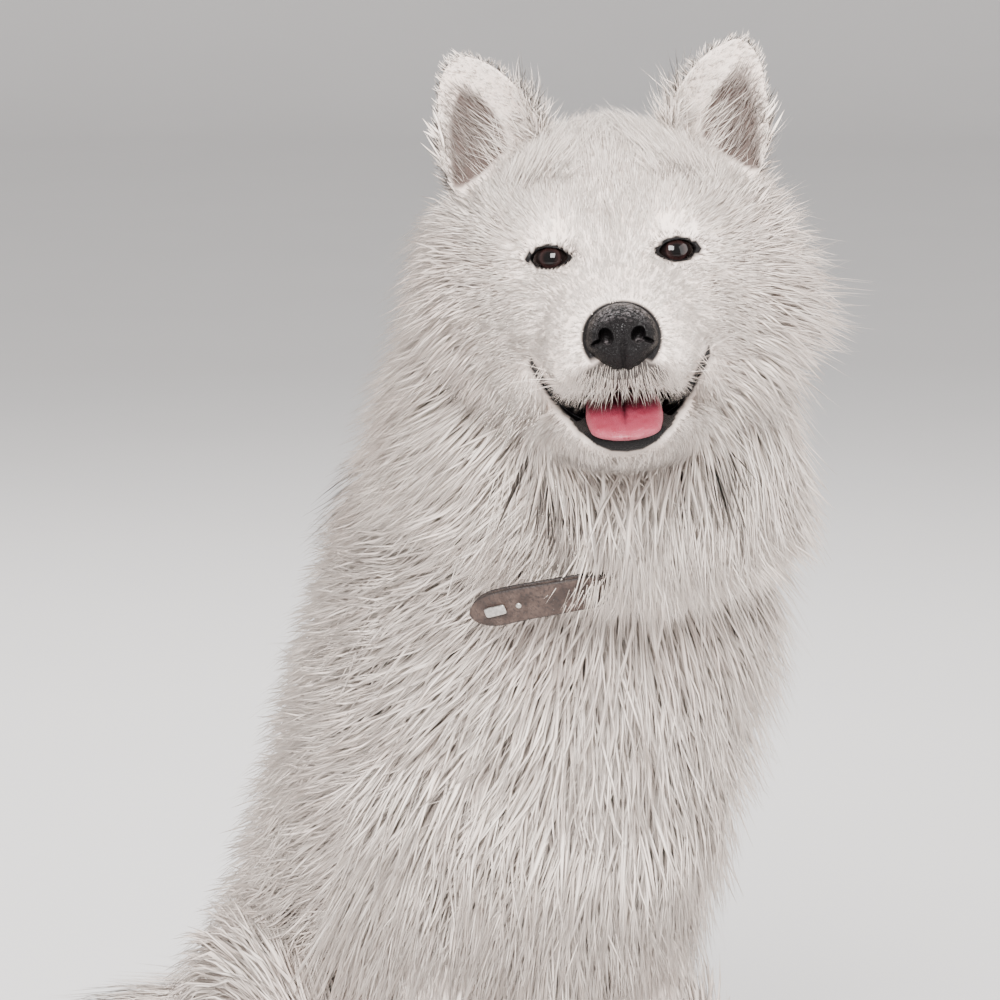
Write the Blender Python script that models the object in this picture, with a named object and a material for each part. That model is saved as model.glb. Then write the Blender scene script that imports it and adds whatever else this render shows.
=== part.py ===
"""A samoyed that sits, as a life-size still model: a smooth core for each named part, with the
long coat as flat, tapered locks over it. Metres, +Z up. The body faces -Y and its left side is +X;
the head is turned to its right. The origin is the middle of the model's box, on the floor."""

import math

import bmesh
import bpy
import numpy as np
from mathutils import Matrix, Vector
from mathutils.bvhtree import BVHTree

# Driving sizes
GAP = 0.0003  # between meshes that touch
SLIVER = 1.5e-6  # points this near each other are one point
WITHERS = 0.57  # height of a large male at the shoulder, which every size below goes with
CORE_SHARE = 0.45  # share of the coat's depth that the smooth core fills under the locks
SEED = 24

# Head, in its own axes: forward along the muzzle, left, up, from the middle of the two eyes
EYE_MIDDLE = (-0.048, -0.235, 0.700)
HEAD_TURN = 25.0  # degrees, to the dog's right
HEAD_PITCH = 12.0  # degrees, nose up
HEAD_ROLL = 3.7  # degrees, crown towards the dog's right
EYE_APART = 0.060
EYE_RADIUS = 0.0112
EYE_FORWARD = 0.0045  # centre of the eyeball, ahead of the middle of the eyes
LID_THICK = 0.0016
EAR_HEIGHT = 0.080
EAR_HALF_WIDTH = 0.032

# Collar
STRAP_WIDTH = 0.020
STRAP_THICK = 0.0026
BAND_THICK = 0.0040

WHITE_COAT = (0.86, 0.82, 0.78)
BLACK_SKIN = (0.02, 0.017, 0.017)
TONGUE_PINK = (0.60, 0.20, 0.23)
EYE_BROWN = (0.045, 0.025, 0.018)
LEATHER = (0.23, 0.13, 0.10)
STEEL = (0.55, 0.53, 0.50)


def material(name, colour, roughness, metallic=0.0):
    made = bpy.data.materials.get(name)
    if made:
        return made
    made = bpy.data.materials.new(name)
    made.use_nodes = True
    shader = made.node_tree.nodes["Principled BSDF"]
    shader.inputs["Base Color"].default_value = (*colour, 1.0)
    shader.inputs["Roughness"].default_value = roughness
    shader.inputs["Metallic"].default_value = metallic
    return made


def unit(v):
    v = np.asarray(v, float)
    return v / np.maximum(np.linalg.norm(v, axis=-1, keepdims=True), 1e-12)


def smooth(knots, values, at):
    """Cubic curve through values at knots, with each slope taken from the neighbours."""
    slopes = np.gradient(values, knots, axis=0)
    at = np.clip(at, knots[0], knots[-1])
    i = np.clip(np.searchsorted(knots, at, side="right") - 1, 0, len(knots) - 2)
    span = knots[i + 1] - knots[i]
    t = (at - knots[i]) / span
    t, span = (x[..., None] if values.ndim > 1 else x for x in (t, span))
    rise = values[i + 1] - values[i]
    a = slopes[i] * span
    b = slopes[i + 1] * span
    return values[i] + a * t + (3 * rise - 2 * a - b) * t**2 + (a + b - 2 * rise) * t**3


class Tube:
    """Rings of half width, half height and coat depth along a smooth line. A ring's angle runs from
    the side vector (0 degrees) through the top (90 degrees). An end may be rounded off."""

    def __init__(self, stations, side=(1, 0, 0), round_start=0.0, round_end=0.0, share=1.0):
        rows = np.array(stations, float)
        steps = np.linalg.norm(np.diff(rows[:, :3], axis=0), axis=1)
        self.knots = np.concatenate([[0], np.cumsum(steps)])
        self.length = self.knots[-1]
        self.rows = rows
        self.side = np.array(side, float)
        self.round_start = round_start
        self.round_end = round_end
        self.share = share

    def frame(self, s):
        step = 0.002
        at = np.clip(np.asarray(s, float) * self.length, step, self.length - step)
        ahead = smooth(self.knots, self.rows[:, :3], at + step)
        behind = smooth(self.knots, self.rows[:, :3], at - step)
        along = unit(ahead - behind)
        up = unit(np.cross(along, self.side))
        return along, np.cross(up, along), up

    def radii(self, s, grow=0.0):
        at = np.asarray(s, float) * self.length
        rows = smooth(self.knots, self.rows, at)
        coat = rows[..., 5] * self.share + grow
        wide = rows[..., 3] + coat
        tall = rows[..., 4] + coat
        for reach, edge in ((self.round_start, at), (self.round_end, self.length - at)):
            if reach:
                near = np.clip(1 - edge / (reach + grow), 0, 1)
                cap = np.sqrt(np.maximum(1 - near**2, 0))
                wide, tall = wide * cap, tall * cap
        return wide, tall

    def point(self, s, angle, grow=0.0):
        s, angle = np.broadcast_arrays(np.asarray(s, float), np.asarray(angle, float))
        middle = smooth(self.knots, self.rows[:, :3], s * self.length)
        _, side, up = self.frame(s)
        wide, tall = self.radii(s, grow)
        a = np.radians(angle)
        return middle + side * (wide * np.cos(a))[..., None] + up * (tall * np.sin(a))[..., None]

    def at_depth(self, s, angle, depth):
        """Points at a share of the coat's depth, where 0 is the skin and 1 the tips."""
        s, angle, depth = np.broadcast_arrays(*(np.asarray(x, float) for x in (s, angle, depth)))
        coat = smooth(self.knots, self.rows[:, 5], s * self.length)
        points = self.point(s, angle, (depth - self.share) * coat)
        return points + self.frame(s)[0] * ((s - np.clip(s, 0, 1)) * self.length)[:, None]

    def around(self, s):
        """Mean radius of the coat's middle."""
        wide, tall = self.radii(s)
        return (wide + tall) / 2

    def rings(self, cuts, around, grow=0.0):
        angles = np.arange(around) * 360.0 / around
        s, a = np.meshgrid(cuts, angles, indexing="ij")
        return self.point(s, a, grow)


def cuts_between(first, last, count, ease_first=False, ease_last=False):
    """Ring places from first to last, closer together at an eased end, as a round end needs."""
    t = np.linspace(0, 1, count)
    if ease_first and ease_last:
        t = (1 - np.cos(math.pi * t)) / 2
    elif ease_first:
        t = 1 - np.cos(math.pi / 2 * t)
    elif ease_last:
        t = np.sin(math.pi / 2 * t)
    return first + (last - first) * t


def body_from_rings(name, rings):
    """A closed mesh from rings that run the same way round, with a fan at each end."""
    count, around = rings.shape[:2]
    points = list(rings.reshape(-1, 3))
    faces = []
    for i in range(count - 1):
        for j in range(around):
            k = (j + 1) % around
            a, b = i * around, (i + 1) * around
            faces.append((a + j, a + k, b + k, b + j))
    points += [rings[0].mean(axis=0), rings[-1].mean(axis=0)]
    start, end = len(points) - 2, len(points) - 1
    last = (count - 1) * around
    for j in range(around):
        k = (j + 1) % around
        faces.append((start, k, j))
        faces.append((end, last + j, last + k))
    return mesh_object(name, points, faces)


def mesh_object(name, points, faces):
    mesh = bpy.data.meshes.new(name)
    mesh.from_pydata([tuple(p) for p in points], [], faces)
    work = bmesh.new()
    work.from_mesh(mesh)
    bmesh.ops.remove_doubles(work, verts=work.verts, dist=1e-6)
    bmesh.ops.triangulate(work, faces=work.faces)
    work.to_mesh(mesh)
    work.free()
    obj = bpy.data.objects.new(name, mesh)
    bpy.context.scene.collection.objects.link(obj)
    return obj


def finish(obj, name, made):
    obj.name = name
    obj.data.name = name
    obj.data.materials.clear()
    obj.data.materials.append(made)
    obj.data.shade_smooth()
    return obj


def remove(objects):
    for obj in objects:
        bpy.data.objects.remove(obj)


def boolean(obj, others, operation, solver="MANIFOLD"):
    """Joins or cuts obj with the other objects, applies it, and removes them."""
    group = bpy.data.collections.new("operands")
    bpy.context.scene.collection.children.link(group)
    for other in others:
        group.objects.link(other)
    change = obj.modifiers.new(operation, "BOOLEAN")
    change.operation = operation
    change.operand_type = "COLLECTION"
    change.collection = group
    change.solver = solver
    bpy.context.view_layer.update()
    graph = bpy.context.evaluated_depsgraph_get()
    mesh = bpy.data.meshes.new_from_object(obj.evaluated_get(graph))
    obj.modifiers.clear()
    obj.data = mesh
    remove(others)
    bpy.data.collections.remove(group)
    keep_largest(obj)
    return obj


def thinned(obj, share):
    """Merges the shortest edges until this share of the faces is left."""
    change = obj.modifiers.new("thin", "DECIMATE")
    change.ratio = share
    bpy.context.view_layer.update()
    graph = bpy.context.evaluated_depsgraph_get()
    mesh = bpy.data.meshes.new_from_object(obj.evaluated_get(graph))
    obj.modifiers.clear()
    obj.data = mesh
    return obj


def keep_largest(obj):
    """Leaves only the largest closed surface, so a sealed hollow fills and a loose scrap goes."""
    work = bmesh.new()
    work.from_mesh(obj.data)
    bmesh.ops.remove_doubles(work, verts=work.verts, dist=SLIVER)
    bmesh.ops.dissolve_degenerate(work, edges=work.edges, dist=SLIVER)
    bmesh.ops.triangulate(work, faces=work.faces)
    left = set(work.faces)
    shells = []
    while left:
        stack = [left.pop()]
        shell = []
        while stack:
            face = stack.pop()
            shell.append(face)
            for edge in face.edges:
                if len(edge.link_faces) != 2:
                    continue
                for other in edge.link_faces:
                    if other in left:
                        left.remove(other)
                        stack.append(other)
        shells.append(shell)

    def size(shell):
        return sum(f.verts[0].co.dot(f.verts[1].co.cross(f.verts[2].co)) for f in shell)

    shells.sort(key=size)
    for shell in shells[:-1]:
        bmesh.ops.delete(work, geom=shell, context="FACES")
    loose = [v for v in work.verts if not v.link_faces]
    bmesh.ops.delete(work, geom=loose, context="VERTS")
    work.to_mesh(obj.data)
    work.free()


def ball(name, centre, half, axes=np.eye(3), around=20, rows=12):
    """An ellipsoid with the given half sizes along the three axes."""
    tilt = np.linspace(0, math.pi, rows + 1)
    tilt[0], tilt[-1] = 1e-3, math.pi - 1e-3
    turn = np.arange(around) * 2 * math.pi / around
    t, p = np.meshgrid(tilt, turn, indexing="ij")
    local = np.stack([np.sin(t) * np.cos(p), np.sin(t) * np.sin(p), -np.cos(t)], axis=-1)
    return body_from_rings(name, (local * half) @ np.asarray(axes) + np.asarray(centre))


def box(name, low, high):
    x, y, z = zip(low, high)
    points = [(x[i], y[j], z[k]) for i in (0, 1) for j in (0, 1) for k in (0, 1)]
    faces = [(0, 1, 3, 2), (4, 6, 7, 5), (0, 4, 5, 1), (2, 3, 7, 6), (0, 2, 6, 4), (1, 5, 7, 3)]
    return mesh_object(name, points, faces)


def below_floor():
    return box("floor_cutter", (-1, -1, -0.5), (1, 1, 0))


# Axes of the head: forward, left and up, as rows
def head_axes():
    turn, pitch, roll = (math.radians(x) for x in (HEAD_TURN, HEAD_PITCH, HEAD_ROLL))
    level = np.array([-math.sin(turn), -math.cos(turn), 0])
    left = np.array([math.cos(turn), -math.sin(turn), 0])
    up = np.array([0, 0, 1.0])
    forward = level * math.cos(pitch) + up * math.sin(pitch)
    up = np.cross(forward, left)
    left, up = left * math.cos(roll) + up * math.sin(roll), up * math.cos(roll) - left * math.sin(roll)
    return np.array([forward, left, up])


HEAD = head_axes()


def from_head(points):
    """Points given as forward, left and up from the middle of the eyes, in the model's axes."""
    return np.asarray(points, float) @ HEAD + np.array(EYE_MIDDLE)


# The head's stations, in metres: forward, top, bottom, half width, height of the widest line
HEAD_STATIONS = np.array(
    [
        (-0.128, 0.022, -0.020, 0.022, 0.004),
        (-0.118, 0.046, -0.046, 0.050, 0.004),
        (-0.095, 0.066, -0.066, 0.074, 0.004),
        (-0.065, 0.077, -0.080, 0.087, 0.000),
        (-0.038, 0.076, -0.092, 0.088, -0.012),
        (-0.014, 0.062, -0.097, 0.078, -0.022),
        (0.002, 0.042, -0.093, 0.066, -0.030),
        (0.016, 0.020, -0.083, 0.055, -0.036),
        (0.032, 0.000, -0.074, 0.045, -0.041),
        (0.050, -0.012, -0.074, 0.037, -0.046),
        (0.065, -0.020, -0.075, 0.032, -0.050),
        (0.077, -0.027, -0.072, 0.026, -0.050),
        (0.084, -0.034, -0.068, 0.017, -0.050),
    ]
)
BULGES = (
    # forward, left, up, reach, height: both sides are made from one row
    (0.002, 0.030, 0.018, 0.016, 0.0055),  # brow over the eye
    (0.014, 0.031, 0.000, 0.015, -0.0055),  # hollow that holds the eye
    (0.056, 0.026, -0.058, 0.018, 0.0050),  # whisker pad
    (-0.030, 0.074, -0.020, 0.030, 0.0040),  # cheekbone
    (0.010, 0.000, 0.030, 0.016, -0.0035),  # furrow between the brows
    (0.030, 0.030, -0.030, 0.016, -0.0030),  # hollow before the cheek
)


def head_surface(forward, angle, grow=0.0):
    """Points of the head's skin: the upper and the lower half of a ring are quarter ovals about the
    widest line, squarer on the muzzle, and bulges push the surface in or out."""
    forward, angle = np.broadcast_arrays(np.asarray(forward, float), np.asarray(angle, float))
    rows = smooth(HEAD_STATIONS[:, 0], HEAD_STATIONS, forward)
    _, top, bottom, wide, line = np.moveaxis(rows, -1, 0)
    across, rise = np.cos(angle), np.sin(angle)
    squareness = 1.0 - 0.16 * np.clip((forward - 0.02) / 0.05, 0, 1)
    across = np.sign(across) * np.abs(across) ** squareness * (wide + grow)
    height = np.where(rise > 0, top - line + grow, line - bottom + grow)
    upward = line + np.sign(rise) * np.abs(rise) ** squareness * height
    points = np.stack([forward + grow * np.sign(forward) * 0.5, across, upward], axis=-1)
    outward = unit(points - np.stack([forward - 0.03, 0 * across, line], axis=-1))
    for fwd, left, up, reach, amount in BULGES:
        for side in (1, -1) if left else (1,):
            near = np.linalg.norm(points - np.array([fwd, side * left, up]), axis=-1)
            points = points + outward * (amount * np.exp(-((near / reach) ** 2)))[..., None]
    return from_head(points)


def head_rings(count, around):
    """Rings of the head from the nape to the muzzle's end, few where the ruff hides them."""
    hidden = np.array([-0.1275, -0.119, -0.098, -0.070, -0.042])
    face = cuts_between(-0.022, HEAD_STATIONS[-1, 0], count - 5, ease_last=True)
    angle = np.arange(around) * 2 * math.pi / around
    return head_surface(np.concatenate([hidden, face])[:, None], angle)


def make_head():
    """The upper head with sockets, lids and the roof of the mouth, still without its coat."""
    head = body_from_rings("head", head_rings(20, 22))
    lids = []
    cutters = []
    for side in (1, -1):
        centre, gaze = eye_place(side)
        lids.append(ball("lid", centre, EYE_RADIUS + GAP + LID_THICK, gaze, 12, 8))
        cutters.append(ball("socket", centre, EYE_RADIUS + GAP, gaze, 11, 6))
        cutters.append(eye_opening(side))
    boolean(head, lids, "UNION")
    cutters.append(mouth_roof())
    boolean(head, cutters, "DIFFERENCE")
    return head


def eye_place(side):
    """Centre of an eyeball, and its axes: gaze, left and up, with the gaze turned outwards."""
    out = math.radians(14.0 * side)
    gaze = np.array([math.cos(out), math.sin(out), 0.02])
    left = np.array([-math.sin(out), math.cos(out), 0.0])
    axes = unit(np.array([gaze, left, np.cross(gaze, left)])) @ HEAD
    return from_head((EYE_FORWARD, side * EYE_APART / 2, 0.0)), axes


def eye_opening(side):
    """An almond prism along the gaze, its outer corner a little higher, that cuts the lids open."""
    centre, axes = eye_place(side)
    turn = np.linspace(0, 2 * math.pi, 14, endpoint=False)
    slant = math.radians(9.0) * side
    wide = 0.0094 * np.cos(turn)
    tall = 0.0064 * np.sign(np.sin(turn)) * np.abs(np.sin(turn)) ** 1.25
    left = wide * math.cos(slant) - tall * math.sin(slant)
    up = wide * math.sin(slant) + tall * math.cos(slant)
    rings = []
    for depth in (0.002, 0.03):
        local = np.stack([np.full_like(left, depth), left, up], axis=-1)
        rings.append(local @ axes + centre)
    return body_from_rings("opening", np.array(rings))


def mouth_roof():
    """The hollow between the upper lips, which the tongue looks out of."""
    path = [(0.004, 0, -0.082, 0.030, 0.013, 0), (0.030, 0, -0.078, 0.028, 0.012, 0)]
    path += [(0.055, 0, -0.080, 0.024, 0.013, 0), (0.079, 0, -0.080, 0.013, 0.009, 0)]
    return head_tube("roof", path, 7, 12, ends=0.010)


def head_tube(name, stations, count, around, grow=0.0, ends=0.006):
    """A rounded tube whose stations are given in the head's axes."""
    placed = [(*from_head(row[:3]), *row[3:]) for row in stations]
    tube = Tube(placed, side=HEAD[1], round_start=ends, round_end=ends)
    cuts = cuts_between(0, 1, count, True, True)
    cuts[0], cuts[-1] = 0.001, 0.999
    return body_from_rings(name, tube.rings(cuts, around, grow))


JAW = (
    # forward, left, up, half width, half height, coat: with the mouth open
    (-0.040, 0.0, -0.080, 0.046, 0.026, 0.0),
    (-0.005, 0.0, -0.084, 0.043, 0.024, 0.0),
    (0.020, 0.0, -0.088, 0.037, 0.0205, 0.0),
    (0.040, 0.0, -0.0925, 0.030, 0.0170, 0.0),
    (0.058, 0.0, -0.0965, 0.0255, 0.0140, 0.0),
    (0.075, 0.0, -0.0985, 0.0220, 0.0115, 0.0),
)
TROUGH = (
    (-0.005, 0.0, -0.066, 0.029, 0.0095, 0.0),
    (0.020, 0.0, -0.0715, 0.027, 0.0100, 0.0),
    (0.042, 0.0, -0.0780, 0.0225, 0.0095, 0.0),
    (0.070, 0.0, -0.0860, 0.0175, 0.0080, 0.0),
)
TONGUE = (
    (0.008, 0.0, -0.0725, 0.0160, 0.0045, 0.0),
    (0.022, 0.0, -0.0755, 0.0180, 0.0045, 0.0),
    (0.040, 0.0, -0.0800, 0.0190, 0.0042, 0.0),
    (0.062, 0.0, -0.0870, 0.0185, 0.0040, 0.0),
    (0.080, 0.0, -0.0950, 0.0150, 0.0034, 0.0),
)
TONGUE_GROOVE = (
    (0.014, 0.0, -0.0690, 0.0018, 0.0014, 0.0),
    (0.034, 0.0, -0.0738, 0.0018, 0.0014, 0.0),
    (0.064, 0.0, -0.0836, 0.0014, 0.0012, 0.0),
)


def make_jaw():
    jaw = head_tube("lower_jaw", JAW, 8, 12, ends=0.014)
    return boolean(jaw, [head_tube("trough", TROUGH, 5, 8, ends=0.008)], "DIFFERENCE")


def make_tongue():
    tongue = head_tube("tongue", TONGUE, 8, 10, ends=0.010)
    return boolean(tongue, [head_tube("groove", TONGUE_GROOVE, 4, 4, ends=0.002)], "DIFFERENCE")


def nose_rings(count, around, grow=0.0):
    """The bare leather: a ball that is flat above, with two wings and a wedge down to the lip."""
    t = np.linspace(0.02, math.pi - 0.02, count)
    p = np.arange(around) * 2 * math.pi / around
    t, p = np.meshgrid(t, p, indexing="ij")
    forward = -np.cos(t)
    left, up = np.sin(t) * np.cos(p), np.sin(t) * np.sin(p)
    wing = np.exp(-(((np.abs(left) - 0.62) / 0.30) ** 2) - ((up + 0.10) / 0.45) ** 2)
    groove = np.exp(-((left / 0.10) ** 2)) * np.clip(0.5 - up, 0, 1)
    narrow = 1 - 0.42 * np.clip(-up - 0.15, 0, 1)
    size = 1 + 0.10 * wing * (forward > 0) - 0.07 * groove * (forward > 0)
    place = np.stack(
        [
            0.0795 + (0.0165 + grow) * forward * size,
            (0.0190 + grow) * left * size * narrow,
            -0.0470 + (0.0172 + grow) * up * np.where(up > 0, 0.92, 1.0) * size,
        ],
        axis=-1,
    )
    return from_head(place)


def make_nose():
    nose = body_from_rings("nose", nose_rings(8, 14))
    nostrils = []
    for side in (1, -1):
        axes = np.array([[1, 0, 0], [0, 0.92, -0.38 * side], [0, 0.38 * side, 0.92]]) @ HEAD
        hole = from_head((0.0945, side * 0.0078, -0.0470))
        nostrils.append(ball("nostril", hole, (0.0080, 0.0029, 0.0042), axes, 6, 4))
        slit = from_head((0.0900, side * 0.0135, -0.0505))
        nostrils.append(ball("slit", slit, (0.0080, 0.0050, 0.0015), axes, 4, 3))
    return thinned(boolean(nose, nostrils, "DIFFERENCE"), 0.72)


# Ears, in the head's axes
def ear_rings(side, count, around, grow=0.0):
    """Crescent rings from the base to the rounded tip: a hollow front face and a full back."""
    v = cuts_between(0, 0.995, count, ease_last=True)
    half = (EAR_HALF_WIDTH + grow) * np.maximum(1 - v**3.3, 0) ** 0.60
    half = half * (0.56 + 0.44 * np.sin(math.pi / 2 * np.minimum(v / 0.45, 1)))
    base = np.array([-0.044, side * 0.0620, 0.034])
    tip = np.array([-0.036, side * 0.0745, 0.034 + EAR_HEIGHT + grow])
    lean = math.radians(26.0)
    across = np.array([-math.sin(lean), side * math.cos(lean), 0.0])
    back = np.array([-math.cos(lean), -side * math.sin(lean), 0.0])
    a = np.arange(around) * 2 * math.pi / around
    u = np.cos(a)
    rear = np.sin(a) > 0
    cup = 0.024 * (1 - v) ** 0.7 + 0.002
    rings = []
    for i, place in enumerate(v):
        middle = base + (tip - base) * place - np.array([0, side * 0.006, 0]) * math.sin(3 * place)
        bow = (1 - u**2) * cup[i] * half[i] / EAR_HALF_WIDTH
        wall = (0.0058 - 0.0030 * place + grow) * np.sqrt(np.maximum(1 - u**2, 0)) + 0.0008
        depth = bow + np.where(rear, wall, -wall) + 0.004
        rings.append(middle + np.outer(u * half[i], across) + np.outer(depth, back))
    rings = np.array(rings)
    return from_head(rings if side > 0 else rings[:, ::-1])


def make_ear(side, name):
    return body_from_rings(name, ear_rings(side, 9, 16))


# Trunk: x, y, z, half width and half height of the skin, and depth of the coat
TRUNK = (
    (0.000, 0.262, 0.066, 0.052, 0.046, 0.034),
    (0.000, 0.234, 0.104, 0.084, 0.078, 0.042),
    (0.000, 0.188, 0.170, 0.090, 0.092, 0.044),
    (0.000, 0.128, 0.248, 0.088, 0.102, 0.045),
    (0.000, 0.056, 0.332, 0.088, 0.104, 0.047),
    (0.000, -0.006, 0.412, 0.092, 0.112, 0.048),
    (0.000, -0.056, 0.490, 0.084, 0.102, 0.052),
    (0.000, -0.088, 0.562, 0.070, 0.082, 0.060),
    (0.000, -0.112, 0.634, 0.060, 0.072, 0.058),
    (-0.006, -0.130, 0.698, 0.054, 0.060, 0.054),
    (-0.014, -0.142, 0.752, 0.044, 0.042, 0.038),
)
COLLAR_AT = 0.750  # share of the trunk's length from the rump
TAIL = (
    (0.004, 0.240, 0.096, 0.026, 0.026, 0.026),
    (-0.016, 0.292, 0.102, 0.023, 0.023, 0.050),
    (-0.064, 0.334, 0.092, 0.020, 0.020, 0.062),
    (-0.128, 0.346, 0.078, 0.017, 0.017, 0.066),
    (-0.180, 0.322, 0.066, 0.014, 0.014, 0.062),
    (-0.216, 0.278, 0.053, 0.011, 0.011, 0.050),
    (-0.232, 0.232, 0.040, 0.007, 0.007, 0.034),
)


def mirrored(stations, side):
    return [(side * row[0], *row[1:]) for row in stations]


THIGH = (
    (0.062, 0.232, 0.105, 0.036, 0.060, 0.030),
    (0.082, 0.180, 0.138, 0.046, 0.084, 0.034),
    (0.098, 0.118, 0.158, 0.044, 0.086, 0.034),
    (0.108, 0.058, 0.166, 0.038, 0.068, 0.030),
    (0.112, 0.010, 0.162, 0.030, 0.046, 0.024),
    (0.112, -0.018, 0.155, 0.022, 0.030, 0.016),
)
SHANK = (
    (0.118, -0.005, 0.128, 0.024, 0.032, 0.010),
    (0.122, 0.060, 0.095, 0.024, 0.030, 0.012),
    (0.120, 0.125, 0.066, 0.019, 0.023, 0.012),
    (0.116, 0.185, 0.047, 0.015, 0.018, 0.010),
)
HIND_FOOT = (
    (0.116, 0.205, 0.030, 0.016, 0.020, 0.008),
    (0.120, 0.150, 0.024, 0.016, 0.017, 0.007),
    (0.126, 0.080, 0.023, 0.017, 0.016, 0.007),
    (0.131, 0.030, 0.025, 0.023, 0.018, 0.006),
    (0.134, -0.008, 0.024, 0.029, 0.018, 0.005),
)
FORELEG = (
    (0.058, -0.014, 0.375, 0.028, 0.036, 0.012),
    (0.060, -0.032, 0.325, 0.033, 0.046, 0.012),
    (0.061, -0.040, 0.265, 0.029, 0.039, 0.011),
    (0.060, -0.041, 0.190, 0.023, 0.027, 0.010),
    (0.060, -0.044, 0.120, 0.021, 0.023, 0.008),
    (0.061, -0.052, 0.072, 0.020, 0.020, 0.007),
    (0.062, -0.064, 0.040, 0.022, 0.020, 0.006),
)


def trunk_tube(share, rounded=True):
    return Tube(TRUNK, (1, 0, 0), 0.060 * rounded, 0.070 * rounded, share)


def limb(name, stations, side, count, around, grow=0.0, start=0.02, end=0.02, share=1.0, across=None):
    tube = Tube(mirrored(stations, side), across or (1, 0, 0), start, end, share)
    cuts = cuts_between(0, 1, count, True, True)
    cuts[0], cuts[-1] = 0.002, 0.998
    return body_from_rings(name, tube.rings(cuts, around, grow))


def trunk_part(name, first, last, count, around, share, grow=0.0, round_first=False):
    cuts = cuts_between(first, last, count, round_first, not round_first)
    return body_from_rings(name, trunk_tube(share).rings(cuts, around, grow))


def make_torso(share, grow=0.0):
    gap = GAP / 2 / trunk_tube(share).length
    return trunk_part("torso", 0.002, COLLAR_AT - gap, 11, 18, share, grow, round_first=True)


def make_neck(share):
    gap = GAP / 2 / trunk_tube(share).length
    return trunk_part("neck", COLLAR_AT + gap, 0.998, 6, 18, share)


FORE_PAW = (0.062, -0.080, 0.027)
FORE_PAW_HALF = (0.036, 0.048, 0.031)
FORE_TOE = 0.0125
HIND_PAW = (0.135, -0.008, 0.024)
HIND_PAW_HALF = (0.033, 0.036, 0.026)
HIND_TOE = 0.0120


def toes_and_claws(side, paw, reach, size):
    """Four toes with a claw each; the middle two reach further forward."""
    made = []
    for place in (-1.5, -0.5, 0.5, 1.5):
        x = side * (paw[0] + place * size * 1.4)
        y = paw[1] - reach - (0.0 if abs(place) > 1 else 0.011)
        toe = (size * 0.95, size * 1.7, size * 1.25)
        made.append(ball("toe", (x, y, size * 0.92), toe, np.eye(3), 6, 4))
        root = y - size * 1.25
        claw = (
            (x, root, size * 0.95, 0.0026, 0.0034, 0),
            (x, root - size * 0.42, size * 0.78, 0.0021, 0.0027, 0),
            (x, root - size * 0.78, size * 0.36, 0.0007, 0.0009, 0),
        )
        made.append(body_from_rings("claw", Tube(claw).rings(np.linspace(0.01, 1, 3), 3)))
    return made


def make_forepaw(side, name):
    paw = ball(name, (side * FORE_PAW[0], *FORE_PAW[1:]), FORE_PAW_HALF, np.eye(3), 10, 6)
    boolean(paw, toes_and_claws(side, FORE_PAW, 0.026, FORE_TOE), "UNION")
    return boolean(thinned(paw, 0.55), [below_floor()], "DIFFERENCE")


def make_hind_foot(side, name):
    foot = limb(name, HIND_FOOT, side, 6, 8, end=0.018)
    paw = ball("paw", (side * HIND_PAW[0], *HIND_PAW[1:]), HIND_PAW_HALF, np.eye(3), 10, 5)
    boolean(foot, [paw] + toes_and_claws(side, HIND_PAW, 0.018, HIND_TOE), "UNION")
    return boolean(thinned(foot, 0.55), [below_floor()], "DIFFERENCE")


# Collar: a band round the neck inside the coat, and its free end, of two leather layers
def make_band():
    """A closed ring on the trunk's core, square in section."""
    trunk = trunk_tube(CORE_SHARE)
    half = STRAP_WIDTH / 2 / trunk.length
    angles = np.arange(24) * 15.0
    rings = []
    for s, grow in ((-half, 0), (-half, BAND_THICK), (half, BAND_THICK), (half, 0)):
        rings.append(trunk.point(COLLAR_AT + s, angles, grow + 2 * GAP))
    rings = np.array(rings).transpose(1, 0, 2)
    count, around = rings.shape[:2]
    faces = []
    for i in range(count):
        for j in range(around):
            a, b = i * around, (i + 1) % count * around
            k = (j + 1) % around
            faces.append((a + j, b + j, b + k, a + k))
    return mesh_object("collar_band", rings.reshape(-1, 3), faces)


STRAP_PATH = (
    # share of the trunk's length, angle round it, distance out from the plain coat
    (0.7560, 266.0, -0.0200),
    (0.7620, 256.0, -0.0060),
    (0.7620, 247.0, 0.0030),
    (0.7500, 234.5, 0.0050),
    (0.7300, 222.5, 0.0050),
)


def strap_line(places):
    """Points along the free end's middle, with its run, width and outward directions."""
    trunk = trunk_tube(1.0)
    knots = np.linspace(0, 1, len(STRAP_PATH))

    def at(t):
        s, angle, lift = smooth(knots, np.array(STRAP_PATH), np.asarray(t, float)).T
        foot = trunk.point(s, angle)
        out = unit(trunk.point(s, angle, 0.01) - foot)
        return foot + out * lift[:, None], out

    places = np.asarray(places)
    points, out = at(places)
    run = unit(at(places + 0.01)[0] - at(places - 0.01)[0])
    out = unit(out - run * (out * run).sum(axis=1, keepdims=True))
    return points, run, np.cross(out, run), out


def strap_end(name, lift):
    """One layer of the free end: a bent strip, round at its tip."""
    t = np.array([0.04, 0.18, 0.32, 0.46, 0.60, 0.74, 0.88, 0.93, 0.965, 0.988])
    points, _, across, out = strap_line(t)
    half = STRAP_WIDTH / 2 * np.sqrt(1 - np.clip((t - 0.88) / 0.112, 0, 0.99) ** 2)
    corners = []
    for side, height in ((-1, 0), (1, 0), (1, 1), (-1, 1)):
        corners.append(points + across * (half * side)[:, None] + out * (lift + height * STRAP_THICK))
    return body_from_rings(name, np.array(corners).transpose(1, 0, 2))


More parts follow.
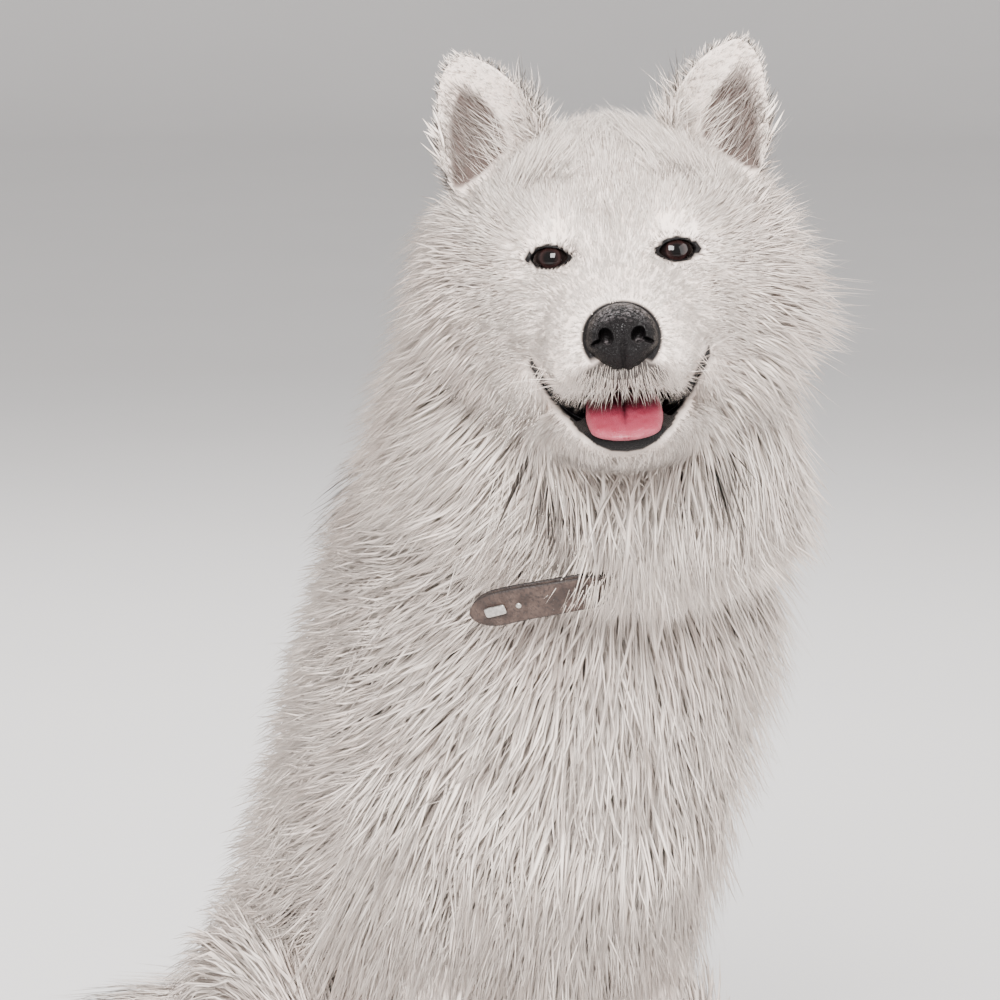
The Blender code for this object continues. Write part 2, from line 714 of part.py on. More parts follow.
def make_plate():
    """A small bare plate, flat on the outer layer near its tip."""
    points, run, across, out = (x[0] for x in strap_line([0.76]))
    lift = 2 * STRAP_THICK + 4 * GAP
    corners = ((-1, -1), (1, -1), (1, 1), (-1, 1))
    rings = []
    for height, long, wide in ((lift, 0.0078, 0.0037), (lift + 0.0009, 0.0073, 0.0032)):
        middle = points + out * height
        rings.append([middle + run * (a * long) + across * (b * wide) for a, b in corners])
    return body_from_rings("collar_plate", np.array(rings))


# Locks of the long coat: flat, tapered, rooted in a core and laid over one another like shingles
LOCK_STEPS = np.array([0.0, 0.36, 0.72, 1.0])
LOCK_WIDTHS = np.array([0.74, 1.00, 0.74, 0.0])
LOCK_RIDGES = np.array([0.80, 1.00, 0.80, 0.0])


def lock_mesh(left, ridge, right):
    """A closed lock of three sides from its two edges and its outer ridge, which end in one tip."""
    last = len(ridge) - 1
    points = [p for ring in zip(left[:-1], ridge[:-1], right[:-1]) for p in ring] + [ridge[-1]]
    faces = [(0, 1, 2)]
    for i in range(last):
        for j in range(3):
            a, b = 3 * i + j, 3 * i + (j + 1) % 3
            if i < last - 1:
                faces += [(a, a + 3, b), (b, a + 3, b + 3)]
            else:
                faces.append((a, 3 * last, b))
    points = np.array(points)
    corners = points[np.array(faces)]
    volume = np.einsum("ij,ij->i", corners[:, 0], np.cross(corners[:, 1], corners[:, 2])).sum()
    if volume < 0:
        faces = [face[::-1] for face in faces]
    return mesh_object("lock", points, faces)


def coat_lock(tube, s, angle, size, rng, flow=-1.0, drift=0.0, depth=1.0, thick=0.007):
    """One lock on a tube. It runs from its sunk root along the tube in the flow's direction while it
    rises to the tips' depth, and turns by the drift, in degrees."""
    length, width = (x * rng.uniform(0.88, 1.12) for x in size)
    t = LOCK_STEPS
    places = s + flow * length * t / tube.length
    turn = angle + (drift + rng.uniform(-4, 4)) * t**1.4
    core = tube.share
    rise = core - 0.17 + (depth - core + 0.17) * t**0.85
    spread = np.degrees(width / 2 * LOCK_WIDTHS / np.maximum(tube.around(places), 0.02))
    coat = smooth(tube.knots, tube.rows[:, 5], places * tube.length)
    left = tube.at_depth(places, turn - spread, rise)
    right = tube.at_depth(places, turn + spread, rise)
    ridge = tube.at_depth(places, turn, rise + thick * LOCK_RIDGES / coat)
    return above_floor(lock_mesh, left, ridge, right)


def above_floor(make, *lines):
    """Makes a lock whose points are bent up to stay clear of the floor."""
    return make(*(np.column_stack([p[:, :2], np.maximum(p[:, 2], 0.0025)]) for p in lines))


def rows_of_locks(tube, places, size, rng, spacing=1.06):
    """Roots in staggered rows round a tube: a list of share along it and angle."""
    roots = []
    for i, s in enumerate(places):
        count = max(4, round(2 * math.pi * float(tube.around(s)) / (size[1] * spacing)))
        for j in range(count):
            shift = j + 0.5 * (i % 2) + rng.uniform(-0.10, 0.10)
            roots.append((s + rng.uniform(-0.08, 0.08) * size[0] / tube.length, shift * 360.0 / count))
    return roots


def tree_of(obj):
    mesh = obj.data
    return BVHTree.FromPolygons([v.co for v in mesh.vertices], [p.vertices for p in mesh.polygons])


def inside(tree, point):
    """Whether a point is inside a closed mesh: a ray from it leaves through an odd number of faces."""
    ray = Vector((0.31, 0.23, 0.92))
    point = Vector(point)
    crossings = 0
    while True:
        hit = tree.ray_cast(point, ray)[0]
        if hit is None:
            return crossings % 2 == 1
        crossings += 1
        point = hit + ray * 1e-5


def coated(obj, tube, roots, size, rng, avoid=(), drift=lambda s, a: 0.0, flow=-1.0, depth=1.0):
    """Joins a lock at each root to a core, but none where another node covers the root."""
    locks = []
    trees = [tree_of(other) for other in avoid]
    for s, angle in roots:
        foot = tube.at_depth([s], [angle], [tube.share + 0.1])[0]
        if foot[2] < 0.012 or any(inside(tree, foot) for tree in trees):
            continue
        locks.append(coat_lock(tube, s, angle, size, rng, flow, drift(s, angle), depth))
    boolean(obj, locks, "UNION")
    return obj


def bounds(obj):
    points = np.array([v.co for v in obj.data.vertices])
    return points.min(axis=0), points.max(axis=0)


def grown_copy(obj, by):
    """The same mesh with its faces pushed out: each vertex moves by the least-squares answer to its
    own faces all moving by the given amount, and by at most three times that."""
    mesh = obj.data.copy()
    mesh.calc_loop_triangles()
    corners = np.empty(len(mesh.loop_triangles) * 3, np.int32)
    mesh.loop_triangles.foreach_get("vertices", corners)
    points = np.empty(len(mesh.vertices) * 3, np.float32)
    mesh.vertices.foreach_get("co", points)
    points = points.reshape(-1, 3).astype(float)
    corners = corners.reshape(-1, 3)
    a, b, c = (points[corners[:, i]] for i in range(3))
    normals = unit(np.cross(b - a, c - a))
    products = np.zeros((len(points), 3, 3))
    sums = np.zeros((len(points), 3))
    for first, second, third in ((a, b, c), (b, c, a), (c, a, b)):
        opening = np.arccos(np.clip((unit(second - first) * unit(third - first)).sum(axis=1), -1, 1))
        at = corners[:, {id(a): 0, id(b): 1, id(c): 2}[id(first)]]
        np.add.at(products, at, opening[:, None, None] * normals[:, :, None] * normals[:, None, :])
        np.add.at(sums, at, opening[:, None] * normals)
    moves = by * np.linalg.solve(products + 0.02 * np.eye(3), sums[:, :, None])[:, :, 0]
    reach = np.linalg.norm(moves, axis=1, keepdims=True)
    moves *= np.minimum(1, 3 * by / np.maximum(reach, 1e-9))
    mesh.vertices.foreach_set("co", (points + moves).astype(np.float32).ravel())
    mesh.update()
    return bpy.data.objects.new("grown", mesh)


def clear_of(obj, others):
    """Cuts obj back from each neighbour that its box reaches, and leaves the gap."""
    low, high = bounds(obj)
    near = []
    for other in others:
        first, last = bounds(other)
        if np.all(first < high + GAP) and np.all(last > low - GAP):
            near.append(grown_copy(other, GAP * 1.15))
    if near:
        boolean(obj, near, "DIFFERENCE")
    return obj


TRUNK_LOCK = (0.180, 0.100)
RUFF_LOCK = (0.135, 0.090)
THIGH_LOCK = (0.135, 0.084)
TAIL_LOCK = (0.165, 0.078)
FEATHER_LOCK = (0.085, 0.034)
SHANK_LOCK = (0.080, 0.040)
CHEEK_LOCK = (0.076, 0.052)


def downward(amount):
    """A drift in degrees towards a tube's under side, 270 degrees, most where it faces sideways."""
    return lambda s, angle: -amount * math.cos(math.radians(angle))


def add_ruff(neck, rng, avoid):
    tube = trunk_tube(CORE_SHARE, rounded=False)
    roots = rows_of_locks(tube, (0.808, 0.885, 0.955), RUFF_LOCK, rng)
    roots = [(s + 0.018 * max(math.cos(math.radians(a - 270)), 0), a) for s, a in roots]
    return coated(neck, tube, roots, RUFF_LOCK, rng, avoid, downward(6), depth=1.04)


def add_trunk_coat(torso, rng, avoid):
    """Rows from the collar to the rump, but few on the belly, which faces the floor between the legs."""
    tube = trunk_tube(CORE_SHARE, rounded=False)
    rows = np.linspace(0.706, 0.135, 6)
    roots = rows_of_locks(tube, rows, TRUNK_LOCK, rng)
    roots = [(s, a) for s, a in roots if not (s < 0.36 and abs((a - 270 + 180) % 360 - 180) < 42)]
    return coated(torso, tube, roots, TRUNK_LOCK, rng, avoid, downward(5))


def add_thigh_coat(thigh, side, rng, avoid):
    """Locks on the outer and upper side only: the inner side lies against the body."""
    tube = Tube(mirrored(THIGH, side), (1, 0, 0), share=CORE_SHARE)
    roots = rows_of_locks(tube, (0.58, 0.90), THIGH_LOCK, rng)
    outer = 0 if side > 0 else 180
    roots = [(s, a) for s, a in roots if abs((a - outer + 180) % 360 - 180) < 105]
    return coated(thigh, tube, roots, THIGH_LOCK, rng, avoid, downward(26))


def add_tail_coat(tail, rng, avoid):
    tube = Tube(TAIL, (0, 0, 1), share=CORE_SHARE)
    roots = rows_of_locks(tube, np.linspace(0.12, 0.76, 4), TAIL_LOCK, rng)
    return coated(tail, tube, roots, TAIL_LOCK, rng, avoid, flow=1.0)


def add_feathering(leg, side, rng, avoid):
    """Long hair down the back of a foreleg, in staggered pairs."""
    tube = Tube(mirrored(FORELEG, side), (1, 0, 0))
    roots = [(s, 270 + (24 if i % 2 else -24)) for i, s in enumerate(np.linspace(0.28, 0.66, 4))]
    return coated(leg, tube, roots, FEATHER_LOCK, rng, avoid, flow=1.0, depth=3.6)


def add_shank_coat(shank, side, rng):
    """A few locks on the outer side, lying back towards the hock."""
    tube = Tube(mirrored(SHANK, side), (1, 0, 0))
    outer = 0 if side > 0 else 180
    roots = [(0.12, outer - 35 * side), (0.25, outer + 15 * side)]
    return coated(shank, tube, roots, SHANK_LOCK, rng, flow=1.0, depth=1.8)


def add_cheek_ruff(head, rng):
    """Locks on both cheeks and behind the jaw, that fan back and out over the neck's ruff."""
    locks = []
    for side in (1, -1):
        for row, forward in enumerate((-0.008, -0.044)):
            for i in range(4 - row):
                angle = 18 - 32 * (i + 0.5 * row) + rng.uniform(-3, 3)
                locks.append(cheek_lock(side, forward - 0.0022 * abs(i - 2) ** 1.5, angle, rng))
    return boolean(head, locks, "UNION")


def cheek_lock(side, forward, angle, rng):
    length, width = (x * rng.uniform(0.88, 1.12) for x in CHEEK_LOCK)
    t = LOCK_STEPS
    ahead = forward - 0.82 * length * t
    rise = -0.006 + 0.022 * t**0.9
    turn = angle + (rng.uniform(-4, 4) - 8) * t**1.3
    spread = np.degrees(width / 2 * LOCK_WIDTHS / 0.085)

    def place(angles, out):
        a = np.radians(angles if side > 0 else 180.0 - angles)
        hold = np.maximum(ahead, -0.100)
        points = head_surface(hold, a, 0.0)
        outward = unit(head_surface(hold, a, 0.004) - points)
        return points + outward * out[:, None] + (ahead - hold)[:, None] * HEAD[0]

    ridge = place(turn, rise + 0.006 * LOCK_RIDGES)
    return lock_mesh(place(turn - spread, rise), ridge, place(turn + spread, rise))


def main():
    remove(list(bpy.data.objects))
    white = material("white_coat", WHITE_COAT, 0.85)
    black = material("black_skin", BLACK_SKIN, 0.35)
    pink = material("tongue", TONGUE_PINK, 0.4)
    brown = material("eye_brown", EYE_BROWN, 0.08)
    leather = material("leather", LEATHER, 0.6)
    steel = material("steel", STEEL, 0.35, 1.0)
    sides = ((1, "left"), (-1, "right"))
    rng = np.random.default_rng(SEED)
    made = {}

    def add(obj, name, surface, *others):
        """Cuts obj clear of the named nodes that are already there, and keeps it as a node."""
        clear_of(obj, [made[other] for other in others])
        made[name] = finish(obj, name, surface)

    for side, word in sides:
        centre, axes = eye_place(side)
        add(ball("eye", centre, EYE_RADIUS, axes, 11, 6), f"eye_{word}", brown)
    add(make_nose(), "nose", black)
    add(add_cheek_ruff(make_head(), rng), "head", white, "nose")
    add(make_tongue(), "tongue", pink)
    add(make_jaw(), "lower_jaw", white, "head", "tongue")
    for side, word in sides:
        add(make_ear(side, "ear"), f"ear_{word}", white, "head")
    add(make_band(), "collar_band", leather)
    add(strap_end("inner", 0.0), "collar_strap_inner", leather)
    add(strap_end("outer", STRAP_THICK + 2 * GAP), "collar_strap_outer", leather)
    add(make_plate(), "collar_plate", steel)
    collar = ("collar_band", "collar_strap_inner", "collar_strap_outer", "collar_plate")
    face = ("head", "lower_jaw", "ear_left", "ear_right")
    neck = add_ruff(make_neck(CORE_SHARE), rng, [made[name] for name in face])
    add(neck, "neck", white, *face, *collar)
    legs = []
    for side, word in sides:
        legs.append(limb("leg", FORELEG, side, 7, 10, end=0.016))
        legs.append(limb("thigh", THIGH, side, 7, 10, start=0.04, end=0.03, share=CORE_SHARE))
    tail = limb("tail", TAIL, 1, 10, 10, start=0.02, end=0.06, share=CORE_SHARE, across=(0, 0, 1))
    torso = add_trunk_coat(make_torso(CORE_SHARE), rng, [legs[1], legs[3], tail])
    add(torso, "torso", white, "neck", *collar)
    for side, word in sides:
        add(make_forepaw(side, "paw"), f"forepaw_{word}", white)
        leg = add_feathering(legs.pop(0), side, rng, [])
        add(leg, f"foreleg_{word}", white, f"forepaw_{word}", "torso")
        add(make_hind_foot(side, "foot"), f"hind_foot_{word}", white, f"forepaw_{word}")
        shank = add_shank_coat(limb("shank", SHANK, side, 5, 8), side, rng)
        boolean(shank, [below_floor()], "DIFFERENCE")
        add(shank, f"shank_{word}", white, f"hind_foot_{word}", "torso")
        thigh = boolean(legs.pop(0), [below_floor()], "DIFFERENCE")
        thigh = add_thigh_coat(thigh, side, rng, [tail])
        joined = (f"shank_{word}", f"hind_foot_{word}", f"foreleg_{word}", "torso")
        add(thigh, f"thigh_{word}", white, *joined)
    boolean(tail, [below_floor()], "DIFFERENCE")
    hind = [f"{kind}_{word}" for kind in ("thigh", "shank", "hind_foot") for _, word in sides]
    add(add_tail_coat(tail, rng, []), "tail", white, "torso", *hind)
    centre_on_floor(made.values())


def centre_on_floor(objects):
    """Moves every vertex so that the model's box stands centred on the origin."""
    boxes = np.array([bounds(obj) for obj in objects])
    low, high = boxes[:, 0].min(axis=0), boxes[:, 1].max(axis=0)
    middle = np.array([(low[0] + high[0]) / 2, (low[1] + high[1]) / 2, low[2]])
    for obj in objects:
        obj.data.transform(Matrix.Translation(Vector(-middle)))
    print("moved by", -middle, "size", high - low)


if __name__ == "__main__":
    main()
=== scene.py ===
"""A sitting samoyed over its solid frame: one skin, a long coat in strands that follow its lie, eyes
with lids, nose, mouth and tongue, whiskers, claws, and a leather collar, on a pale studio floor.

Lengths are metres, +Z is up, the body faces -Y and its left side is +X. Shapes come from rings along
smooth lines, the same stations as the frame's, at the depth of the bare skin."""

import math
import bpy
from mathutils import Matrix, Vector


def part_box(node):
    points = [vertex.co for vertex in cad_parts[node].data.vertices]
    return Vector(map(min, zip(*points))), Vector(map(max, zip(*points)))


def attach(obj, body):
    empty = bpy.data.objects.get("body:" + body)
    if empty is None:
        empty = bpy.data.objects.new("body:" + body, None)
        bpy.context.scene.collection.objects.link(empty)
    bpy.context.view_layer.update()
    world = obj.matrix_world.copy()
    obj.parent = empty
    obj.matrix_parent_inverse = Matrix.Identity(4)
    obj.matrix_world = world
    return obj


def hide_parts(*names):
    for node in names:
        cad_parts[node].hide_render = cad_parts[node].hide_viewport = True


bl_info = {
    "name": "Sitting samoyed",
    "version": (1, 0, 0),
    "blender": (4, 5, 0),
    "location": "3D View > Sidebar > Samoyed",
    "description": "Skin, coat, face and collar of a sitting samoyed, and a studio to show it in",
    "category": "Add Mesh",
}

import bpy
import numpy as np
from bpy.props import FloatProperty, FloatVectorProperty, PointerProperty
from mathutils import Vector

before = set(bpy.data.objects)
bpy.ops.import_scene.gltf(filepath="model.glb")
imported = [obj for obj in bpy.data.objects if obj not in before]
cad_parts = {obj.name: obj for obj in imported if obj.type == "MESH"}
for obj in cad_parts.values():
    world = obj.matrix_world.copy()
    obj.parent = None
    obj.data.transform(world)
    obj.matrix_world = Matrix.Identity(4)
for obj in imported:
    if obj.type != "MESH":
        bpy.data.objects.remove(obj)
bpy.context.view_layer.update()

SEED = 7
HEAD_TURN = 25.0
HEAD_PITCH = 12.0
HEAD_ROLL = 3.7
EYE_APART = 0.060
EYE_RADIUS = 0.0112
EYE_FORWARD = 0.0045
LID_THICK = 0.0016
LID_HALF = (0.0108, 0.0054)
LID_SLANT = 6.0
EAR_HEIGHT = 0.080
EAR_HALF_WIDTH = 0.032
COLLAR_AT = 0.750
STRAP_WIDTH = 0.020
STRAP_THICK = 0.0026
GAP = 0.0003
STREAK = 0.00060
SOFT = 0.80
NOSE_MIDDLE = (0.0795, 0.0006, -0.0468)
FLESH = ("head", "lower_jaw", "neck", "torso", "tail") + tuple(
    f"{kind}_{word}"
    for kind in ("ear", "foreleg", "forepaw", "hind_foot", "shank", "thigh")
    for word in ("left", "right")
)


def unit(v):
    """Vectors at length one."""
    v = np.asarray(v, float)
    return v / np.maximum(np.linalg.norm(v, axis=-1, keepdims=True), 1e-12)


def head_axes():
    """Forward, left and up of the head: turned about Z, pitched up, then rolled about forward."""
    turn, pitch, roll = (math.radians(x) for x in (HEAD_TURN, HEAD_PITCH, HEAD_ROLL))
    level = np.array([-math.sin(turn), -math.cos(turn), 0])
    left = np.array([math.cos(turn), -math.sin(turn), 0])
    up = np.array([0, 0, 1.0])
    forward = level * math.cos(pitch) + up * math.sin(pitch)
    up = np.cross(forward, left)
    left, up = left * math.cos(roll) + up * math.sin(roll), up * math.cos(roll) - left * math.sin(roll)
    return np.array([forward, left, up])


HEAD = head_axes()


def eye_axes(side):
    """Gaze, left and up of an eyeball, the gaze turned 14 degrees outwards."""
    out = math.radians(14.0 * side)
    gaze = np.array([math.cos(out), math.sin(out), 0.02])
    left = np.array([-math.sin(out), math.cos(out), 0.0])
    return unit(np.array([gaze, left, np.cross(gaze, left)])) @ HEAD


def eye_middle():
    """The middle of the two eyes, from the frame's own eyeballs."""
    ends = np.array([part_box(f"eye_{word}") for word in ("left", "right")], float)
    return ends.mean(axis=(0, 1)) - EYE_FORWARD * HEAD[0]


EYE_MIDDLE = eye_middle()
SHIFT = EYE_MIDDLE - np.array((-0.048, -0.235, 0.700))


def from_head(points):
    """Points given as forward, left and up from the middle of the eyes, in the model's axes."""
    return np.asarray(points, float) @ HEAD + EYE_MIDDLE


def to_head(points):
    """The reverse of from_head."""
    return (np.asarray(points, float) - EYE_MIDDLE) @ HEAD.T


def smooth(knots, values, at):
    """Cubic curve through values at knots, with each slope taken from the neighbours."""
    slopes = np.gradient(values, knots, axis=0)
    at = np.clip(at, knots[0], knots[-1])
    i = np.clip(np.searchsorted(knots, at, side="right") - 1, 0, len(knots) - 2)
    span = knots[i + 1] - knots[i]
    t = (at - knots[i]) / span
    if values.ndim > 1:
        t, span = t[..., None], span[..., None]
    rise = values[i + 1] - values[i]
    a = slopes[i] * span
    b = slopes[i + 1] * span
    return values[i] + a * t + (3 * rise - 2 * a - b) * t**2 + (a + b - 2 * rise) * t**3


class Tube:
    """Rings of half width, half height and coat depth along a smooth line. A ring's angle runs from
    the side vector (0 degrees) through the top (90 degrees)."""

    def __init__(self, stations, side=(1, 0, 0), shift=True):
        rows = np.array(stations, float)
        if shift:
            rows[:, :3] += SHIFT
        steps = np.linalg.norm(np.diff(rows[:, :3], axis=0), axis=1)
        self.knots = np.concatenate([[0], np.cumsum(steps)])
        self.length = self.knots[-1]
        self.rows = rows
        self.side = np.array(side, float)

    def frame(self, s):
        step = 0.002
        at = np.clip(np.asarray(s, float) * self.length, step, self.length - step)
        ahead = smooth(self.knots, self.rows[:, :3], at + step)
        behind = smooth(self.knots, self.rows[:, :3], at - step)
        along = unit(ahead - behind)
        up = unit(np.cross(along, self.side))
        return along, np.cross(up, along), up

    def coat(self, s):
        return smooth(self.knots, self.rows[:, 5], np.asarray(s, float) * self.length)

    def point(self, s, angle, out=0.0):
        """Middle + side * (half width + out) * cos(angle) + up * (half height + out) * sin(angle);
        past either end the ring keeps its size and runs straight on."""
        s, angle, out = np.broadcast_arrays(*(np.asarray(x, float) for x in (s, angle, out)))
        rows = smooth(self.knots, self.rows, s * self.length)
        along, side, up = self.frame(s)
        a = np.radians(angle)
        wide = (rows[..., 3] + out) * np.cos(a)
        tall = (rows[..., 4] + out) * np.sin(a)
        past = (s - np.clip(s, 0, 1)) * self.length
        return rows[..., :3] + side * wide[..., None] + up * tall[..., None] + along * past[..., None]

    def around(self, s):
        rows = smooth(self.knots, self.rows, np.asarray(s, float) * self.length)
        return (rows[..., 3] + rows[..., 4]) / 2

    def grid(self, count, around, out=0.0, round_start=0.0, round_end=0.0):
        """Rings from end to end, drawn in over a rounded end by a quarter circle."""
        s = (1 - np.cos(np.linspace(0, math.pi, count))) / 2
        s[0], s[-1] = 0.0005, 0.9995
        middle = smooth(self.knots, self.rows[:, :3], s * self.length)[:, None]
        ring = self.point(s[:, None], np.arange(around) * 360.0 / around, out)
        cap = np.ones(count)
        for reach, edge in ((round_start, s), (round_end, 1 - s)):
            if reach:
                near = np.clip(1 - edge * self.length / reach, 0, 1)
                cap = cap * np.sqrt(np.maximum(1 - near**2, 0))
        return middle + (ring - middle) * cap[:, None, None]


# Stations: x, y, z, half width and half height of the skin, and depth of the coat
TRUNK = (
    (0.000, 0.262, 0.066, 0.052, 0.046, 0.034),
    (0.000, 0.234, 0.104, 0.084, 0.078, 0.042),
    (0.000, 0.188, 0.170, 0.090, 0.092, 0.044),
    (0.000, 0.128, 0.248, 0.088, 0.102, 0.045),
    (0.000, 0.056, 0.332, 0.088, 0.104, 0.047),
    (0.000, -0.006, 0.412, 0.092, 0.112, 0.048),
    (0.000, -0.056, 0.490, 0.084, 0.102, 0.052),
    (0.000, -0.088, 0.562, 0.070, 0.082, 0.060),
    (0.000, -0.112, 0.634, 0.060, 0.072, 0.058),
    (-0.006, -0.130, 0.698, 0.054, 0.060, 0.054),
    (-0.014, -0.142, 0.752, 0.044, 0.042, 0.038),
)
TAIL = (
    (0.004, 0.240, 0.096, 0.026, 0.026, 0.026),
    (-0.016, 0.292, 0.102, 0.023, 0.023, 0.050),
    (-0.064, 0.334, 0.092, 0.020, 0.020, 0.062),
    (-0.128, 0.346, 0.078, 0.017, 0.017, 0.066),
    (-0.180, 0.322, 0.066, 0.014, 0.014, 0.062),
    (-0.216, 0.278, 0.053, 0.011, 0.011, 0.050),
    (-0.232, 0.232, 0.040, 0.007, 0.007, 0.034),
)
THIGH = (
    (0.062, 0.232, 0.105, 0.036, 0.060, 0.030),
    (0.082, 0.180, 0.138, 0.046, 0.084, 0.034),
    (0.098, 0.118, 0.158, 0.044, 0.086, 0.034),
    (0.108, 0.058, 0.166, 0.038, 0.068, 0.030),
    (0.112, 0.010, 0.162, 0.030, 0.046, 0.024),
    (0.112, -0.018, 0.155, 0.022, 0.030, 0.016),
)
SHANK = (
    (0.118, -0.005, 0.128, 0.024, 0.032, 0.010),
    (0.122, 0.060, 0.095, 0.024, 0.030, 0.012),
    (0.120, 0.125, 0.066, 0.019, 0.023, 0.012),
    (0.116, 0.185, 0.047, 0.015, 0.018, 0.010),
)
HIND_FOOT = (
    (0.116, 0.205, 0.030, 0.016, 0.020, 0.008),
    (0.120, 0.150, 0.024, 0.016, 0.017, 0.007),
    (0.126, 0.080, 0.023, 0.017, 0.016, 0.007),
    (0.131, 0.030, 0.025, 0.023, 0.018, 0.006),
    (0.134, -0.008, 0.024, 0.029, 0.018, 0.005),
)
FORELEG = (
    (0.058, -0.014, 0.375, 0.028, 0.036, 0.012),
    (0.060, -0.032, 0.325, 0.033, 0.046, 0.012),
    (0.061, -0.040, 0.265, 0.029, 0.039, 0.011),
    (0.060, -0.041, 0.190, 0.023, 0.027, 0.010),
    (0.060, -0.044, 0.120, 0.021, 0.023, 0.008),
    (0.061, -0.052, 0.072, 0.020, 0.020, 0.007),
    (0.062, -0.064, 0.040, 0.022, 0.020, 0.006),
)
FORE_PAW = (0.062, -0.080, 0.027)
FORE_PAW_HALF = (0.036, 0.048, 0.031)
FORE_TOE = 0.0125
HIND_PAW = (0.135, -0.008, 0.024)
HIND_PAW_HALF = (0.033, 0.036, 0.026)
HIND_TOE = 0.0120

# The head's stations: forward, top, bottom, half width, height of the widest line
HEAD_STATIONS = np.array(
    [
        (-0.128, 0.022, -0.020, 0.022, 0.004),
        (-0.118, 0.046, -0.046, 0.050, 0.004),
        (-0.095, 0.066, -0.066, 0.074, 0.004),
        (-0.065, 0.077, -0.080, 0.087, 0.000),
        (-0.038, 0.076, -0.092, 0.088, -0.012),
        (-0.014, 0.062, -0.097, 0.078, -0.022),
        (0.002, 0.042, -0.093, 0.066, -0.030),
        (0.016, 0.020, -0.083, 0.055, -0.036),
        (0.032, 0.000, -0.074, 0.045, -0.041),
        (0.050, -0.012, -0.074, 0.037, -0.046),
        (0.065, -0.020, -0.075, 0.032, -0.050),
        (0.077, -0.027, -0.072, 0.026, -0.050),
        (0.084, -0.034, -0.068, 0.017, -0.050),
    ]
)
BULGES = (
    # forward, left, up, reach, height: both sides are made from one row
    (0.002, 0.030, 0.018, 0.016, 0.0055),
    (0.014, 0.031, 0.000, 0.015, -0.0055),
    (0.056, 0.026, -0.058, 0.018, 0.0050),
    (-0.030, 0.074, -0.020, 0.030, 0.0040),
    (0.010, 0.000, 0.030, 0.016, -0.0035),
    (0.030, 0.030, -0.030, 0.016, -0.0030),
)
JAW = (
    (-0.040, 0.0, -0.080, 0.046, 0.026, 0.0),
    (-0.005, 0.0, -0.084, 0.043, 0.024, 0.0),
    (0.020, 0.0, -0.088, 0.037, 0.0205, 0.0),
    (0.040, 0.0, -0.0918, 0.030, 0.0160, 0.0),
    (0.058, 0.0, -0.0950, 0.0250, 0.0118, 0.0),
    (0.075, 0.0, -0.0968, 0.0212, 0.0088, 0.0),
)
ROOF = (
    (0.004, 0, -0.082, 0.030, 0.013, 0),
    (0.030, 0, -0.078, 0.028, 0.012, 0),
    (0.055, 0, -0.080, 0.024, 0.013, 0),
    (0.079, 0, -0.080, 0.013, 0.009, 0),
)
TROUGH = (
    (-0.005, 0.0, -0.066, 0.029, 0.0095, 0.0),
    (0.020, 0.0, -0.0715, 0.027, 0.0100, 0.0),
    (0.042, 0.0, -0.0780, 0.0225, 0.0095, 0.0),
    (0.070, 0.0, -0.0860, 0.0175, 0.0080, 0.0),
)
TONGUE = (
    (0.008, 0.0, -0.0725, 0.0160, 0.0045, 0.0),
    (0.022, 0.0, -0.0755, 0.0180, 0.0045, 0.0),
    (0.040, 0.0, -0.0800, 0.0190, 0.0042, 0.0),
    (0.062, 0.0, -0.0875, 0.0190, 0.0040, 0.0),
    (0.081, 0.0, -0.0965, 0.0158, 0.0034, 0.0),
)
LIP = (
    (0.0380, 0.0445, -0.0545, 0.024, 0.0006, 0),
    (0.0400, 0.0400, -0.0635, 0.028, 0.0013, 0),
    (0.0420, 0.0345, -0.0715, 0.029, 0.0019, 0),
    (0.0440, 0.0280, -0.0780, 0.029, 0.0028, 0),
    (0.0460, 0.0200, -0.0835, 0.029, 0.0040, 0),
)
LIP_EDGES = (
    # distance from the middle, lower edge and upper edge of the black lips, seen from the front
    (0.0000, -0.1030, -0.0715),
    (0.0080, -0.1021, -0.0708),
    (0.0155, -0.0985, -0.0712),
    (0.0235, -0.0905, -0.0730),
    (0.0290, -0.0812, -0.0728),
    (0.0365, -0.0724, -0.0648),
    (0.0430, -0.0614, -0.0542),
    (0.0462, -0.0550, -0.0488),
)
HOLLOW = (
    # height, then the inner and outer edge of the dark hollow of an ear, seen from the front
    (0.044, 0.0780, 0.0815),
    (0.054, 0.0630, 0.0820),
    (0.065, 0.0500, 0.0822),
    (0.076, 0.0520, 0.0815),
    (0.088, 0.0590, 0.0790),
    (0.098, 0.0710, 0.0745),
)
STRAP_PATH = (
    # share of the trunk's length, angle round it, distance out from the plain coat
    (0.7560, 266.0, -0.0200),
    (0.7620, 256.0, -0.0060),
    (0.7620, 247.0, 0.0030),
    (0.7500, 234.5, 0.0050),
    (0.7300, 222.5, 0.0050),
)


def mirrored(stations, side):
    return [(side * row[0], *row[1:]) for row in stations]


def mirrored_left(stations, side):
    """Stations in the head's axes, on its left or right."""
    return [(row[0], side * row[1], *row[2:]) for row in stations]


def head_tube(stations, side=1):
    """A tube whose stations, and the axis that its width runs along, are the head's."""
    placed = [(*from_head(row[:3]), *row[3:]) for row in stations]
    return Tube(placed, side=HEAD[side], shift=False)


# Sizes and colours that a user would change


def colour(name, description, default):
    return FloatVectorProperty(
        name=name, description=description, subtype="COLOR", size=3, min=0, max=1, default=default
    )


def metres(name, description, default):
    return FloatProperty(name=name, description=description, default=default, min=0, unit="LENGTH", precision=5)


